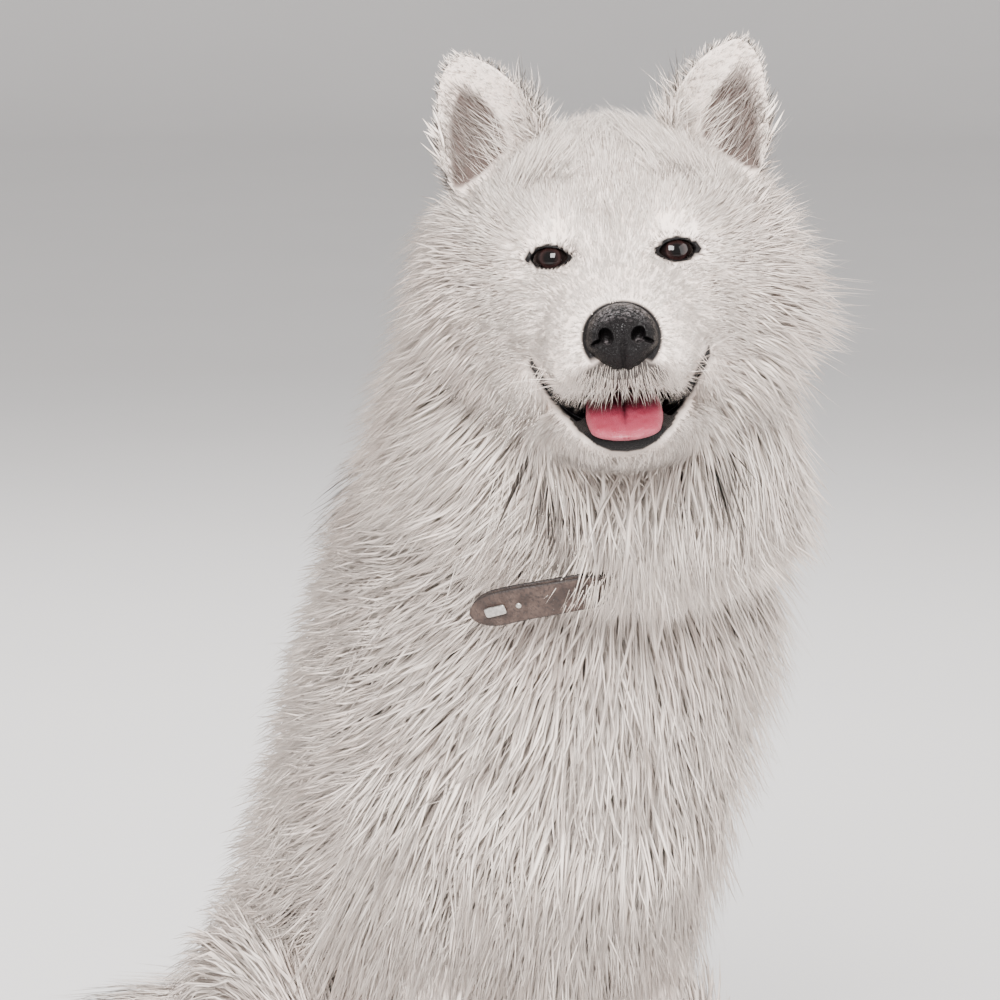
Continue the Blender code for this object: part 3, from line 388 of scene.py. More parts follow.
class SamoyedCoat(bpy.types.PropertyGroup):
    lock: metres("Lock width", "Width of an outer lock of the long coat", 0.0021)
    strand: metres("Strand width", "Width of a single strand of the long coat", 0.00056)
    tuft: metres("Tuft width", "Width of a tuft of the undercoat", 0.0042)
    fine: metres("Fine strand width", "Width of a strand on the face and feet", 0.00052)
    density: FloatProperty(name="Density", description="Share of the full number of strands", default=1.0, min=0.05, max=1.2)
    clumping: FloatProperty(name="Clumping", description="How far tips draw together", default=0.56, min=0, max=1)
    tip: colour("Tip colour", "Colour of the coat's tips", (0.955, 0.850, 0.770))
    # Darker and warmer near the skin: partly the hair's own tone, partly painted shade deep in the coat.
    root: colour("Root colour", "Colour near the skin", (0.86, 0.715, 0.63))
    warm: colour("Warm tint", "Soft warm patches in the coat", (0.93, 0.770, 0.690))
    # The coat's painted shade also turns to this brown, under the ruff, under the chin and in the folds of the face.
    ear: colour("Ear hair colour", "Hair inside the ears", (0.086, 0.061, 0.053))
    skin: colour("Skin colour", "Skin under the coat", (0.84, 0.72, 0.65))


class SamoyedFace(bpy.types.PropertyGroup):
    iris: colour("Iris colour", "Dark brown of the iris", (0.0095, 0.0045, 0.0042))
    black: colour("Black skin", "Nose leather, lips and lid rims", (0.0035, 0.0028, 0.0030))
    tongue: colour("Tongue colour", "Pink of the tongue", (0.215, 0.024, 0.042))
    whisker: metres("Whisker length", "Length of the longest whisker", 0.048)
    whisker_width: metres("Whisker width", "Width of a whisker at its root", 0.00034)


class SamoyedCollar(bpy.types.PropertyGroup):
    leather: colour("Leather colour", "Worn brown of the strap", (0.026, 0.0145, 0.0110))
    worn: colour("Worn colour", "Where the leather's top has rubbed off", (0.060, 0.037, 0.029))
    edge: colour("Edge colour", "Dark cut edge of the leather", (0.012, 0.008, 0.007))
    metal: colour("Metal colour", "Small bare plate and rivet", (0.56, 0.53, 0.50))
    rivet: metres("Rivet radius", "Radius of the rivet by the plate", 0.0016)


class SamoyedStudio(bpy.types.PropertyGroup):
    floor: colour("Floor colour", "Pale floor and backdrop", (0.64, 0.625, 0.62))
    azimuth: FloatProperty(name="Camera azimuth", description="Degrees round from the front", default=-24.0)
    elevation: FloatProperty(name="Camera elevation", description="Degrees above level", default=11.0)
    distance: FloatProperty(name="Camera distance", description="From the target", default=2.1, unit="LENGTH")
    lens: FloatProperty(name="Lens", description="Focal length in millimetres", default=146.5)
    key: FloatProperty(name="Key light", description="Power of the soft light by the camera", default=385.0)
    fill: FloatProperty(name="Fill light", description="Power of the weaker side light", default=92.0)


# Meshes


def link(obj, material=None, body="root"):
    """Puts a finished piece in the scene, on its body, with its finish."""
    if obj.name not in bpy.context.scene.collection.objects:
        bpy.context.scene.collection.objects.link(obj)
    if material:
        obj.data.materials.clear()
        obj.data.materials.append(material)
    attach(obj, body)
    return obj


def triangle_mesh(name, points, faces, smooth_faces=True):
    """A mesh from whole arrays of points and triangles."""
    mesh = bpy.data.meshes.new(name)
    points = np.ascontiguousarray(points, np.float32).reshape(-1, 3)
    faces = np.ascontiguousarray(faces, np.int32).reshape(-1, 3)
    mesh.vertices.add(len(points))
    mesh.vertices.foreach_set("co", points.ravel())
    mesh.loops.add(faces.size)
    mesh.loops.foreach_set("vertex_index", faces.ravel())
    mesh.polygons.add(len(faces))
    mesh.polygons.foreach_set("loop_start", np.arange(0, faces.size, 3, dtype=np.int32))
    mesh.polygons.foreach_set("use_smooth", np.full(len(faces), smooth_faces))
    mesh.update(calc_edges=True)
    return mesh


def closed_grid(rings):
    """Points and triangles of a closed body from rings, with a fan at each end. The triangles turn
    outwards whichever way the rings run, by the sign of the enclosed volume."""
    count, around = rings.shape[:2]
    i, j = np.meshgrid(np.arange(count - 1), np.arange(around), indexing="ij")
    a = i * around + j
    b = i * around + (j + 1) % around
    quads = np.stack([a, b, b + around, a, b + around, a + around], axis=-1).reshape(-1, 3)
    start, end = count * around, count * around + 1
    j = np.arange(around)
    k = (j + 1) % around
    last = (count - 1) * around
    fans = [np.stack([np.full(around, start), k, j], 1), np.stack([np.full(around, end), last + j, last + k], 1)]
    faces = np.concatenate([quads, *fans])
    points = np.concatenate([rings.reshape(-1, 3), rings[:1].mean(axis=1), rings[-1:].mean(axis=1)])
    corners = points[faces] - points.mean(axis=0)
    if np.einsum("ij,ij->i", corners[:, 0], np.cross(corners[:, 1], corners[:, 2])).sum() < 0:
        faces = faces[:, ::-1]
    return points, faces


def ellipsoid(centre, half, axes=None, around=32, rows=20):
    """Rings of a ball stretched to the half sizes along the three axes."""
    tilt = np.linspace(0.02, math.pi - 0.02, rows)[:, None]
    turn = np.arange(around) * 2 * math.pi / around
    one = np.ones_like(turn)
    local = np.stack([np.sin(tilt) * np.cos(turn), np.sin(tilt) * np.sin(turn), -np.cos(tilt) * one], axis=-1)
    return (local * np.asarray(half)) @ (np.eye(3) if axes is None else np.asarray(axes)) + np.asarray(centre)


def body_object(name, rings_list):
    """One object from several closed bodies, each from rings."""
    points, faces, count = [], [], 0
    for rings in rings_list:
        p, f = closed_grid(np.asarray(rings))
        points.append(p)
        faces.append(f + count)
        count += len(p)
    obj = bpy.data.objects.new(name, triangle_mesh(name, np.concatenate(points), np.concatenate(faces)))
    bpy.context.scene.collection.objects.link(obj)
    return obj


def applied(obj):
    """The object with its modifiers made part of its mesh."""
    bpy.context.view_layer.update()
    mesh = bpy.data.meshes.new_from_object(obj.evaluated_get(bpy.context.evaluated_depsgraph_get()))
    obj.modifiers.clear()
    old = obj.data
    obj.data = mesh
    bpy.data.meshes.remove(old)
    return obj


def combine(obj, others, operation):
    """Joins or cuts by the MANIFOLD solver, and removes the other objects."""
    for other in others:
        change = obj.modifiers.new(operation, "BOOLEAN")
        change.operation = operation
        change.object = other
        change.solver = "MANIFOLD"
    applied(obj)
    for other in others:
        bpy.data.objects.remove(other)
    return obj


def remeshed(obj, size, rounds):
    """One surface round all that obj holds, made even and then smoothed."""
    change = obj.modifiers.new("even", "REMESH")
    change.mode = "VOXEL"
    change.voxel_size = size
    soft = obj.modifiers.new("soft", "SMOOTH")
    soft.factor = 0.5
    soft.iterations = rounds
    return applied(obj)


def mesh_arrays(mesh):
    """Points, vertex normals and triangles as arrays."""
    mesh.calc_loop_triangles()
    points = np.empty(len(mesh.vertices) * 3, np.float32)
    normals = np.empty(len(mesh.vertices) * 3, np.float32)
    faces = np.empty(len(mesh.loop_triangles) * 3, np.int32)
    mesh.vertices.foreach_get("co", points)
    mesh.vertex_normals.foreach_get("vector", normals)
    mesh.loop_triangles.foreach_get("vertices", faces)
    return points.reshape(-1, 3).astype(float), normals.reshape(-1, 3).astype(float), faces.reshape(-1, 3)


def set_attribute(mesh, name, values):
    """A number for each vertex, that a material reads."""
    made = mesh.attributes.new(name, "FLOAT", "POINT")
    made.data.foreach_set("value", np.ascontiguousarray(values, np.float32))


# Finishes


def shader_of(name, roughness, **constants):
    """A new material and its Principled BSDF, with the constants on the shader's own sockets."""
    made = bpy.data.materials.new(name)
    made.use_nodes = True
    shader = made.node_tree.nodes["Principled BSDF"]
    shader.inputs["Roughness"].default_value = roughness
    for socket, value in constants.items():
        shader.inputs[socket.replace("_", " ")].default_value = value
    return made, shader


def add_node(tree, kind, **settings):
    node = tree.nodes.new(kind)
    for key, value in settings.items():
        if key in node.inputs:
            node.inputs[key].default_value = value
        else:
            setattr(node, key, value)
    return node


def attribute_of(tree, name):
    return add_node(tree, "ShaderNodeAttribute", attribute_name=name).outputs["Fac"]


def ramp_of(tree, factor, stops):
    """A colour ramp with the given places and colours."""
    node = tree.nodes.new("ShaderNodeValToRGB")
    while len(node.color_ramp.elements) < len(stops):
        node.color_ramp.elements.new(0.5)
    for element, (place, tint) in zip(node.color_ramp.elements, stops):
        element.position = place
        element.color = (*tint, 1.0)
    tree.links.new(factor, node.inputs["Fac"])
    return node.outputs["Color"]


def mix_of(tree, factor, first, second, blend="MIX"):
    """A colour mix, where either colour may be a socket or a plain colour."""
    node = add_node(tree, "ShaderNodeMix", data_type="RGBA", blend_type=blend)
    for socket, value in ((node.inputs[0], factor), (node.inputs[6], first), (node.inputs[7], second)):
        if isinstance(value, bpy.types.NodeSocket):
            tree.links.new(value, socket)
        elif isinstance(value, (int, float)):
            socket.default_value = value
        else:
            socket.default_value = (*value, 1.0)
    return node.outputs[2]


def grain_group():
    """Object-space noise at one scale: its value, and a height that a bump reads."""
    group = bpy.data.node_groups.get("Grain")
    if group:
        return group
    group = bpy.data.node_groups.new("Grain", "ShaderNodeTree")
    group.interface.new_socket("Scale", in_out="INPUT", socket_type="NodeSocketFloat")
    group.interface.new_socket("Detail", in_out="INPUT", socket_type="NodeSocketFloat")
    group.interface.new_socket("Low", in_out="INPUT", socket_type="NodeSocketFloat")
    group.interface.new_socket("High", in_out="INPUT", socket_type="NodeSocketFloat")
    group.interface.new_socket("Mask", in_out="OUTPUT", socket_type="NodeSocketFloat")
    inside = group.nodes.new("NodeGroupInput")
    outside = group.nodes.new("NodeGroupOutput")
    place = group.nodes.new("ShaderNodeTexCoord")
    noise = group.nodes.new("ShaderNodeTexNoise")
    spread = group.nodes.new("ShaderNodeMapRange")
    group.links.new(place.outputs["Object"], noise.inputs["Vector"])
    group.links.new(inside.outputs["Scale"], noise.inputs["Scale"])
    group.links.new(inside.outputs["Detail"], noise.inputs["Detail"])
    group.links.new(noise.outputs["Fac"], spread.inputs["Value"])
    group.links.new(inside.outputs["Low"], spread.inputs["From Min"])
    group.links.new(inside.outputs["High"], spread.inputs["From Max"])
    group.links.new(spread.outputs["Result"], outside.inputs["Mask"])
    return group


def grain(tree, scale, detail=3.0, low=0.35, high=0.65):
    """The grain group with its own values; its output is a mask from 0 to 1."""
    node = tree.nodes.new("ShaderNodeGroup")
    node.node_tree = grain_group()
    for name, value in (("Scale", scale), ("Detail", detail), ("Low", low), ("High", high)):
        node.inputs[name].default_value = value
    return node.outputs["Mask"]


def bump_of(made, shader, height, strength, distance, over=None):
    """A bump over the plain normal, or over another one."""
    tree = made.node_tree
    bump = add_node(tree, "ShaderNodeBump", Strength=strength, Distance=distance)
    if over:
        tree.links.new(over, bump.inputs["Normal"])
    tree.links.new(height, bump.inputs["Height"])
    tree.links.new(bump.outputs["Normal"], shader.inputs["Normal"])


def coat_material():
    """Strands and tufts: paler towards the tip, their darker roots partly the hair's own tone and partly
    painted shade deep in the coat, with soft warm patches, a change from one strand to the next, and fine
    streaks that run along each, so that a tuft reads as many hairs. The mask dark turns them to the brown
    of the ears: the dark hair of ears, lashes and muzzle, and painted shade under the ruff, under the chin
    and in the folds of the face."""
    old = bpy.data.materials.get("white_coat_strands")
    if old:
        return old
    coat = bpy.context.scene.samoyed_coat
    made, shader = shader_of("white_coat_strands", 0.60, Specular_IOR_Level=0.25)
    tree = made.node_tree
    # Root to tip: the darker root is partly the hair's own tone, partly painted shade deep in the coat.
    tint = ramp_of(tree, attribute_of(tree, "along"), ((0.0, coat.root), (0.5, coat.tip), (1.0, coat.tip)))
    tint = mix_of(tree, grain(tree, 9.0, 2.0, 0.50, 0.90), tint, coat.warm)
    strand = attribute_of(tree, "strand")
    shade = ramp_of(tree, strand, ((0.0, (0.91, 0.895, 0.88)), (0.4, (0.98, 0.975, 0.97)), (1.0, (1.0, 1.0, 1.0))))
    tint = mix_of(tree, 1.0, tint, shade, "MULTIPLY")
    apart = add_node(tree, "ShaderNodeMath", operation="MULTIPLY")
    apart.inputs[1].default_value = 61.0
    tree.links.new(strand, apart.inputs[0])
    place = add_node(tree, "ShaderNodeCombineXYZ")
    tree.links.new(attribute_of(tree, "across"), place.inputs["X"])
    tree.links.new(apart.outputs["Value"], place.inputs["Z"])
    far = add_node(tree, "ShaderNodeMath", operation="MULTIPLY")
    far.inputs[1].default_value = 2.6
    tree.links.new(attribute_of(tree, "along"), far.inputs[0])
    tree.links.new(far.outputs["Value"], place.inputs["Y"])
    streak = add_node(tree, "ShaderNodeTexNoise", Scale=1.0, Detail=2.0)
    tree.links.new(place.outputs["Vector"], streak.inputs["Vector"])
    lines = ramp_of(tree, streak.outputs["Fac"], ((0.36, (0.70, 0.655, 0.63)), (0.54, (1.0, 1.0, 1.0))))
    tint = mix_of(tree, 1.0, tint, lines, "MULTIPLY")
    # dark: the dark hair of ears, lashes and muzzle, and painted shade under the ruff, under the chin and in the
    # face's folds.
    tint = mix_of(tree, attribute_of(tree, "dark"), tint, coat.ear)
    tree.links.new(tint, shader.inputs["Base Color"])
    own = add_node(tree, "ShaderNodeMix", data_type="VECTOR")
    own.inputs[0].default_value = SOFT
    tree.links.new(tree.nodes.new("ShaderNodeNewGeometry").outputs["Normal"], own.inputs[4])
    skinward = add_node(tree, "ShaderNodeAttribute", attribute_name="outward")
    tree.links.new(skinward.outputs["Vector"], own.inputs[5])
    facing = add_node(tree, "ShaderNodeVectorMath", operation="NORMALIZE")
    tree.links.new(own.outputs[1], facing.inputs[0])
    bump_of(made, shader, streak.outputs["Fac"], 0.5, 0.0006, facing.outputs["Vector"])
    return made


def skin_material():
    """Bare skin: pale under the coat, black where the lids, lips and mouth are, brown in the ears."""
    old = bpy.data.materials.get("skin")
    if old:
        return old
    coat, face = bpy.context.scene.samoyed_coat, bpy.context.scene.samoyed_face
    made, shader = shader_of("skin", 0.6, Specular_IOR_Level=0.14)
    tree = made.node_tree
    tint = mix_of(tree, grain(tree, 60.0, 3.0), coat.skin, coat.root)
    tint = mix_of(tree, attribute_of(tree, "ear"), tint, coat.ear)
    tint = mix_of(tree, attribute_of(tree, "dark"), tint, face.black)
    tree.links.new(tint, shader.inputs["Base Color"])
    wet = ramp_of(tree, attribute_of(tree, "dark"), ((0.0, (0.7, 0.7, 0.7)), (1.0, (0.42, 0.42, 0.42))))
    tree.links.new(wet, shader.inputs["Roughness"])
    bump_of(made, shader, grain(tree, 900.0, 2.0), 0.35, 0.0006)
    return made


def nose_material():
    """Black pebbled leather, greyer on top: painted sheen where the leather faces up, with some dry dust."""
    face = bpy.context.scene.samoyed_face
    made, shader = shader_of("nose_leather", 0.36, Specular_IOR_Level=0.13)
    tree = made.node_tree
    # The grey top is painted sheen where the leather faces up, with some dust.
    dust_and_sheen = mix_of(tree, attribute_of(tree, "top"), face.black, (0.105, 0.092, 0.094))
    tree.links.new(mix_of(tree, grain(tree, 620.0, 4.0, 0.49, 0.66), face.black, dust_and_sheen), shader.inputs["Base Color"])
    place = tree.nodes.new("ShaderNodeTexCoord")
    cells = add_node(tree, "ShaderNodeTexVoronoi", Scale=820.0, feature="DISTANCE_TO_EDGE")
    tree.links.new(place.outputs["Object"], cells.inputs["Vector"])
    edge = add_node(tree, "ShaderNodeMapRange")
    edge.inputs["From Max"].default_value = 0.25
    tree.links.new(cells.outputs["Distance"], edge.inputs["Value"])
    bump_of(made, shader, edge.outputs["Result"], 0.75, 0.0004)
    rough = ramp_of(tree, grain(tree, 260.0, 3.0), ((0.0, (0.26, 0.26, 0.26)), (1.0, (0.52, 0.52, 0.52))))
    tree.links.new(rough, shader.inputs["Roughness"])
    return made


def eye_material():
    """Black pupil, brown iris with fine rays and a dark rim, and a dusky white, under a wet surface."""
    face = bpy.context.scene.samoyed_face
    made, shader = shader_of("eye", 0.04, Specular_IOR_Level=0.24)
    tree = made.node_tree
    iris = np.array(face.iris)
    stops = (
        (0.0, (0.002, 0.002, 0.002)),
        (0.080, (0.003, 0.002, 0.002)),
        (0.100, tuple(iris * 0.9)),
        (0.150, tuple(iris * 2.1)),
        (0.178, tuple(iris * 0.7)),
        (0.192, (0.006, 0.004, 0.004)),
        (0.250, (0.012, 0.008, 0.007)),
        (0.340, (0.07, 0.052, 0.048)),
    )
    rays = ramp_of(tree, grain(tree, 1500.0, 2.0), ((0.0, (0.55, 0.55, 0.55)), (1.0, (1.0, 1.0, 1.0))))
    tint = mix_of(tree, 0.7, ramp_of(tree, attribute_of(tree, "tilt"), stops), rays, "MULTIPLY")
    tree.links.new(tint, shader.inputs["Base Color"])
    return made


def tongue_material():
    """Wet pink with fine buds, and painted shade down the middle groove and towards the back of the mouth."""
    face = bpy.context.scene.samoyed_face
    made, shader = shader_of("tongue_skin", 0.32, Specular_IOR_Level=0.40, Coat_Weight=0.12, Coat_Roughness=0.2)
    tree = made.node_tree
    base = mix_of(tree, grain(tree, 170.0, 3.0), face.tongue, tuple(np.array(face.tongue) * (1.25, 1.8, 1.6)))
    # Painted shade: darker down the groove and towards the back of the mouth.
    tint = mix_of(tree, attribute_of(tree, "dark"), base, tuple(np.array(face.tongue) * 0.22))
    tree.links.new(tint, shader.inputs["Base Color"])
    bump_of(made, shader, grain(tree, 1500.0, 2.0), 0.6, 0.0004)
    return made


def leather_material():
    """Worn brown: pale rubbed patches with scratches on the faces, dark cut edges, fine grain."""
    collar = bpy.context.scene.samoyed_collar
    made, shader = shader_of("worn_leather", 0.58, Specular_IOR_Level=0.4)
    tree = made.node_tree
    worn = mix_of(tree, grain(tree, 120.0, 5.0, 0.42, 0.62), collar.leather, collar.worn)
    worn = mix_of(tree, grain(tree, 640.0, 4.0, 0.5, 0.72), worn, collar.edge)
    tint = mix_of(tree, attribute_of(tree, "edge"), worn, collar.edge)
    tree.links.new(tint, shader.inputs["Base Color"])
    bump_of(made, shader, grain(tree, 700.0, 5.0, 0.3, 0.7), 0.6, 0.0005)
    return made


def metal_material():
    collar = bpy.context.scene.samoyed_collar
    made, shader = shader_of("dull_metal", 0.36, Metallic=1.0)
    tree = made.node_tree
    dull = mix_of(tree, grain(tree, 500.0, 4.0), collar.metal, tuple(np.array(collar.metal) * 0.62))
    tree.links.new(dull, shader.inputs["Base Color"])
    rough = ramp_of(tree, grain(tree, 300.0, 4.0), ((0.0, (0.25, 0.25, 0.25)), (1.0, (0.52, 0.52, 0.52))))
    tree.links.new(rough, shader.inputs["Roughness"])
    return made


def claw_material():
    made, shader = shader_of("claw", 0.4, Specular_IOR_Level=0.5)
    tree = made.node_tree
    tint = mix_of(tree, grain(tree, 220.0, 3.0), (0.10, 0.075, 0.065), (0.32, 0.26, 0.22))
    tree.links.new(tint, shader.inputs["Base Color"])
    return made


# The head


def head_surface(forward, angle, grow=0.0):
    """Upper and lower quarter ovals about the widest line, squarer on the muzzle, with round bulges
    that push the surface in or out. Grow moves it along the oval's radius."""
    forward, angle, grow = np.broadcast_arrays(*(np.asarray(x, float) for x in (forward, angle, grow)))
    rows = smooth(HEAD_STATIONS[:, 0], HEAD_STATIONS, forward)
    _, top, bottom, wide, line = np.moveaxis(rows, -1, 0)
    across, rise = np.cos(angle), np.sin(angle)
    squareness = 1.0 - 0.16 * np.clip((forward - 0.02) / 0.05, 0, 1)
    across = np.sign(across) * np.abs(across) ** squareness * (wide + grow)
    height = np.where(rise > 0, top - line + grow, line - bottom + grow)
    upward = line + np.sign(rise) * np.abs(rise) ** squareness * height
    points = np.stack([forward + grow * np.clip(forward / 0.03, -1, 1) * 0.5, across, upward], axis=-1)
    outward = unit(points - np.stack([forward - 0.03, 0 * across, line], axis=-1))
    for fwd, left, up, reach, amount in BULGES:
        for side in (1, -1) if left else (1,):
            near = np.linalg.norm(points - np.array([fwd, side * left, up]), axis=-1)
            points = points + outward * (amount * np.exp(-((near / reach) ** 2)))[..., None]
    return points


def face_depth(points):
    """How deep the short fur is at points in the head's axes: 1 mm on the muzzle and by the eyes,
    8 mm at the back of the skull."""
    depth = 0.0010 + 0.0075 * np.clip((0.036 - points[..., 0]) / 0.09, 0, 1)
    for side in (1, -1):
        near = np.linalg.norm(points - np.array([EYE_FORWARD, side * EYE_APART / 2, 0]), axis=-1)
        depth = depth * (1 - 0.85 * np.exp(-((near / 0.019) ** 2)))
    return depth


def head_skin_rings(count, around):
    """The head's rings, drawn in by the depth of the short fur."""
    forward = HEAD_STATIONS[0, 0] + 0.0006 + (HEAD_STATIONS[-1, 0] - HEAD_STATIONS[0, 0] - 0.0008) * (
        np.sin(math.pi / 2 * np.linspace(0, 1, count)) ** 0.9
    )
    angle = np.arange(around) * 2 * math.pi / around
    plain = head_surface(forward[:, None], angle)
    return from_head(head_surface(forward[:, None], angle, -face_depth(plain)))


def eye_centre(side):
    return from_head((EYE_FORWARD, side * EYE_APART / 2, 0.0))


def opening_rings(side, around=48):
    """An almond prism along the gaze, its outer corner a little higher, that cuts the lids open."""
    turn = np.linspace(0, 2 * math.pi, around, endpoint=False)
    slant = math.radians(LID_SLANT) * side
    wide = LID_HALF[0] * np.cos(turn)
    tall = LID_HALF[1] * np.sign(np.sin(turn)) * np.abs(np.sin(turn)) ** 1.3
    left = wide * math.cos(slant) - tall * math.sin(slant)
    up = wide * math.sin(slant) + tall * math.cos(slant)
    rings = [np.stack([np.full_like(left, depth), left, up], axis=-1) for depth in (0.002, 0.03)]
    return np.array(rings) @ eye_axes(side) + eye_centre(side)


def ear_frame(side):
    """Base, tip, and the directions across and back of an ear, in the head's axes."""
    base = np.array([-0.044, side * 0.0620, 0.034])
    tip = np.array([-0.036, side * 0.0745, 0.034 + EAR_HEIGHT])
    lean = math.radians(26.0)
    across = np.array([-math.sin(lean), side * math.cos(lean), 0.0])
    back = np.array([-math.cos(lean), -side * math.sin(lean), 0.0])
    return base, tip, across, back


def ear_half(v, grow=0.0):
    """Half width up the ear: widest at 0.45 of its height, round at the tip."""
    half = (EAR_HALF_WIDTH + grow) * np.maximum(1 - v**3.3, 0) ** 0.60
    return half * (0.56 + 0.44 * np.sin(math.pi / 2 * np.minimum(v / 0.45, 1)))


def ear_rings(side, count, around, grow=0.0):
    """Crescent rings from the base to the rounded tip: a hollow front face and a full back."""
    v = np.sin(math.pi / 2 * np.linspace(0, 1, count)) * 0.995
    half = ear_half(v, grow)[:, None]
    base, tip, across, back = ear_frame(side)
    tip = tip + np.array([0, 0, grow])
    a = np.arange(around) * 2 * math.pi / around
    u = np.cos(a)[None, :]
    v = v[:, None]
    cup = 0.024 * (1 - v) ** 0.7 + 0.002
    bow = (1 - u**2) * cup * half / EAR_HALF_WIDTH
    wall = (0.0058 - 0.0030 * v + grow) * np.sqrt(np.maximum(1 - u**2, 0)) + 0.0008
    depth = bow + np.where(np.sin(a)[None, :] > 0, wall, -wall) + 0.004
    lean = np.stack([0 * v, -side * 0.006 * np.sin(3 * v), 0 * v], axis=-1)
    middle = base + (tip - base) * v[..., None] + lean
    rings = middle + (u * half)[..., None] * across + depth[..., None] * back
    return from_head(rings if side > 0 else rings[:, ::-1])


def oval_distance(points, tube, samples=48):
    """How many radii each point is from a tube's middle line, by its nearest sample on that line."""
    s = np.linspace(0, 1, samples)
    rows = smooth(tube.knots, tube.rows, s * tube.length)
    along, side, up = tube.frame(s)
    away = points[:, None] - rows[None, :, :3]
    nearest = np.linalg.norm(away, axis=2).argmin(axis=1)
    away = away[np.arange(len(points)), nearest]
    across = (away * side[nearest]).sum(axis=1) / rows[nearest, 3]
    rise = (away * up[nearest]).sum(axis=1) / rows[nearest, 4]
    ahead = (away * along[nearest]).sum(axis=1) / rows[nearest, 4]
    return np.sqrt(across**2 + rise**2 + ahead**2)


def fade(value, zero, one):
    """0 at and past zero, 1 at and past one, with a soft step between."""
    t = np.clip((value - zero) / (one - zero), 0, 1)
    return t * t * (3 - 2 * t)


def lid_distance(points):
    """How many openings each point is from the nearest eye's middle, seen along its gaze, by almonds
    |left / a|^1.6 + |up / b|^1.6 whose corners are sharper than an ellipse's."""
    found = np.full(len(points), 9.0)
    for side in (1, -1):
        local = (points - eye_centre(side)) @ eye_axes(side).T
        slant = math.radians(LID_SLANT) * side
        left = local[:, 1] * math.cos(slant) + local[:, 2] * math.sin(slant)
        up = local[:, 2] * math.cos(slant) - local[:, 1] * math.sin(slant)
        apart = (np.abs(left / LID_HALF[0]) ** 1.6 + np.abs(up / LID_HALF[1]) ** 1.6) ** (1 / 1.6)
        found = np.where((local[:, 0] > 0) & (apart < found), apart, found)
    return found


def ear_place(points, side):
    """Where points are on an ear: share across it, share up it, and how far behind its middle sheet."""
    base, tip, across, back = ear_frame(side)
    away = to_head(points) - base
    v = away[:, 2] / EAR_HEIGHT
    away = away - np.outer(v, tip - base)
    away[:, 1] += side * 0.006 * np.sin(3 * v)
    half = np.maximum(ear_half(np.clip(v, 0, 0.98)), 1e-3)
    u = (away @ across) / half
    bow = (1 - np.clip(u, -1, 1) ** 2) * (0.024 * (1 - np.clip(v, 0, 1)) ** 0.7 + 0.002) * half / EAR_HALF_WIDTH
    return u, v, away @ back - bow - 0.004


def inner_ear(points):
    """1 in the dark hollow of an ear, 0 elsewhere: between an inner and an outer edge that change with
    height, on all that lies in front of the ear's middle sheet."""
    local = to_head(points)
    across, up = np.abs(local[:, 1]), local[:, 2]
    height, inner, outer = np.array(HOLLOW).T
    inner, outer = np.interp(up, height, inner), np.interp(up, height, outer)
    mask = fade(across, inner - 0.0015, inner + 0.0030) * fade(across, outer + 0.0012, outer - 0.0015)
    mask = mask * fade(up, height[0] - 0.002, height[0] + 0.004) * fade(up, height[-1] + 0.001, height[-1] - 0.005)
    ahead = [ear_place(points, side)[2] < 0.0005 for side in (1, -1)]
    return mask * np.where(local[:, 1] > 0, *ahead) * (local[:, 0] < -0.005)


def clear_of_ears(paths):
    """Which strands keep their middles and tips out of the ears' hollows."""
    return np.maximum.reduce([inner_ear(paths[:, i]) for i in range(1, paths.shape[1])]) < 0.35


def black_lips(points):
    """1 where skin near the mouth is black, by its place seen from the front, 0 elsewhere."""
    local = to_head(points)
    across, low, high = np.array(LIP_EDGES).T
    y = np.abs(local[:, 1])
    low, high = np.interp(y, across, low), np.interp(y, across, high)
    mask = fade(local[:, 2], low - 0.0010, low + 0.0006) * fade(local[:, 2], high + 0.0010, high - 0.0006)
    return mask * (y < 0.0460) * (local[:, 0] > 0.004)


def under_nose(local):
    """1 on the dark skin between the nose and the upper lip, where the fringe grows, 0 elsewhere."""
    oval = np.hypot(local[:, 1] / 0.0262, (local[:, 2] + 0.0668) / 0.0104)
    return fade(oval, 1.15, 0.75) * (local[:, 0] > 0.030)


def lip_heights(local):
    """Heights above the upper edge and below the lower edge of the black lips, seen from the front."""
    across, low, high = np.array(LIP_EDGES).T
    y = np.abs(local[:, 1])
    return local[:, 2] - np.interp(y, across, high), np.interp(y, across, low) - local[:, 2]


# Skin


def toes(side, paw, reach, size):
    """Rings of four toes, the middle two further forward."""
    made = []
    for place in (-1.5, -0.5, 0.5, 1.5):
        x = side * (paw[0] + place * size * 1.4)
        y = paw[1] - reach - (0.0 if abs(place) > 1 else 0.011)
        made.append(ellipsoid(np.array((x, y, size * 0.92)) + SHIFT, (size * 0.92, size * 1.64, size * 1.18)))
    return made


def body_rings():
    """Every part of the body but the head, at the depth of the bare skin."""
    found = [Tube(TRUNK).grid(60, 64, 0.0, 0.045, 0.045)]
    found.append(Tube(TAIL, (0, 0, 1)).grid(40, 32, 0.0, 0.02, 0.01))
    for side in (1, -1):
        found.append(Tube(mirrored(THIGH, side)).grid(32, 40, 0.0, 0.03, 0.022))
        found.append(Tube(mirrored(SHANK, side)).grid(24, 32, 0.002, 0.02, 0.016))
        found.append(Tube(mirrored(HIND_FOOT, side)).grid(24, 32, 0.003, 0.014, 0.018))
        found.append(Tube(mirrored(FORELEG, side)).grid(36, 36, 0.002, 0.016, 0.016))
        for paw, half, reach, size in (
            (FORE_PAW, FORE_PAW_HALF, 0.026, FORE_TOE),
            (HIND_PAW, HIND_PAW_HALF, 0.018, HIND_TOE),
        ):
            centre = np.array((side * paw[0], *paw[1:])) + SHIFT
            found.append(ellipsoid(centre, np.array(half) - 0.0022))
            found += toes(side, paw, reach, size)
    return found


def cut_at_floor(obj):
    """Moves what reaches past the floor up to a flat sole, a little above it."""
    points, _, _ = mesh_arrays(obj.data)
    points[:, 2] = np.maximum(points[:, 2], 0.0012)
    obj.data.vertices.foreach_set("co", points.astype(np.float32).ravel())
    obj.data.update()


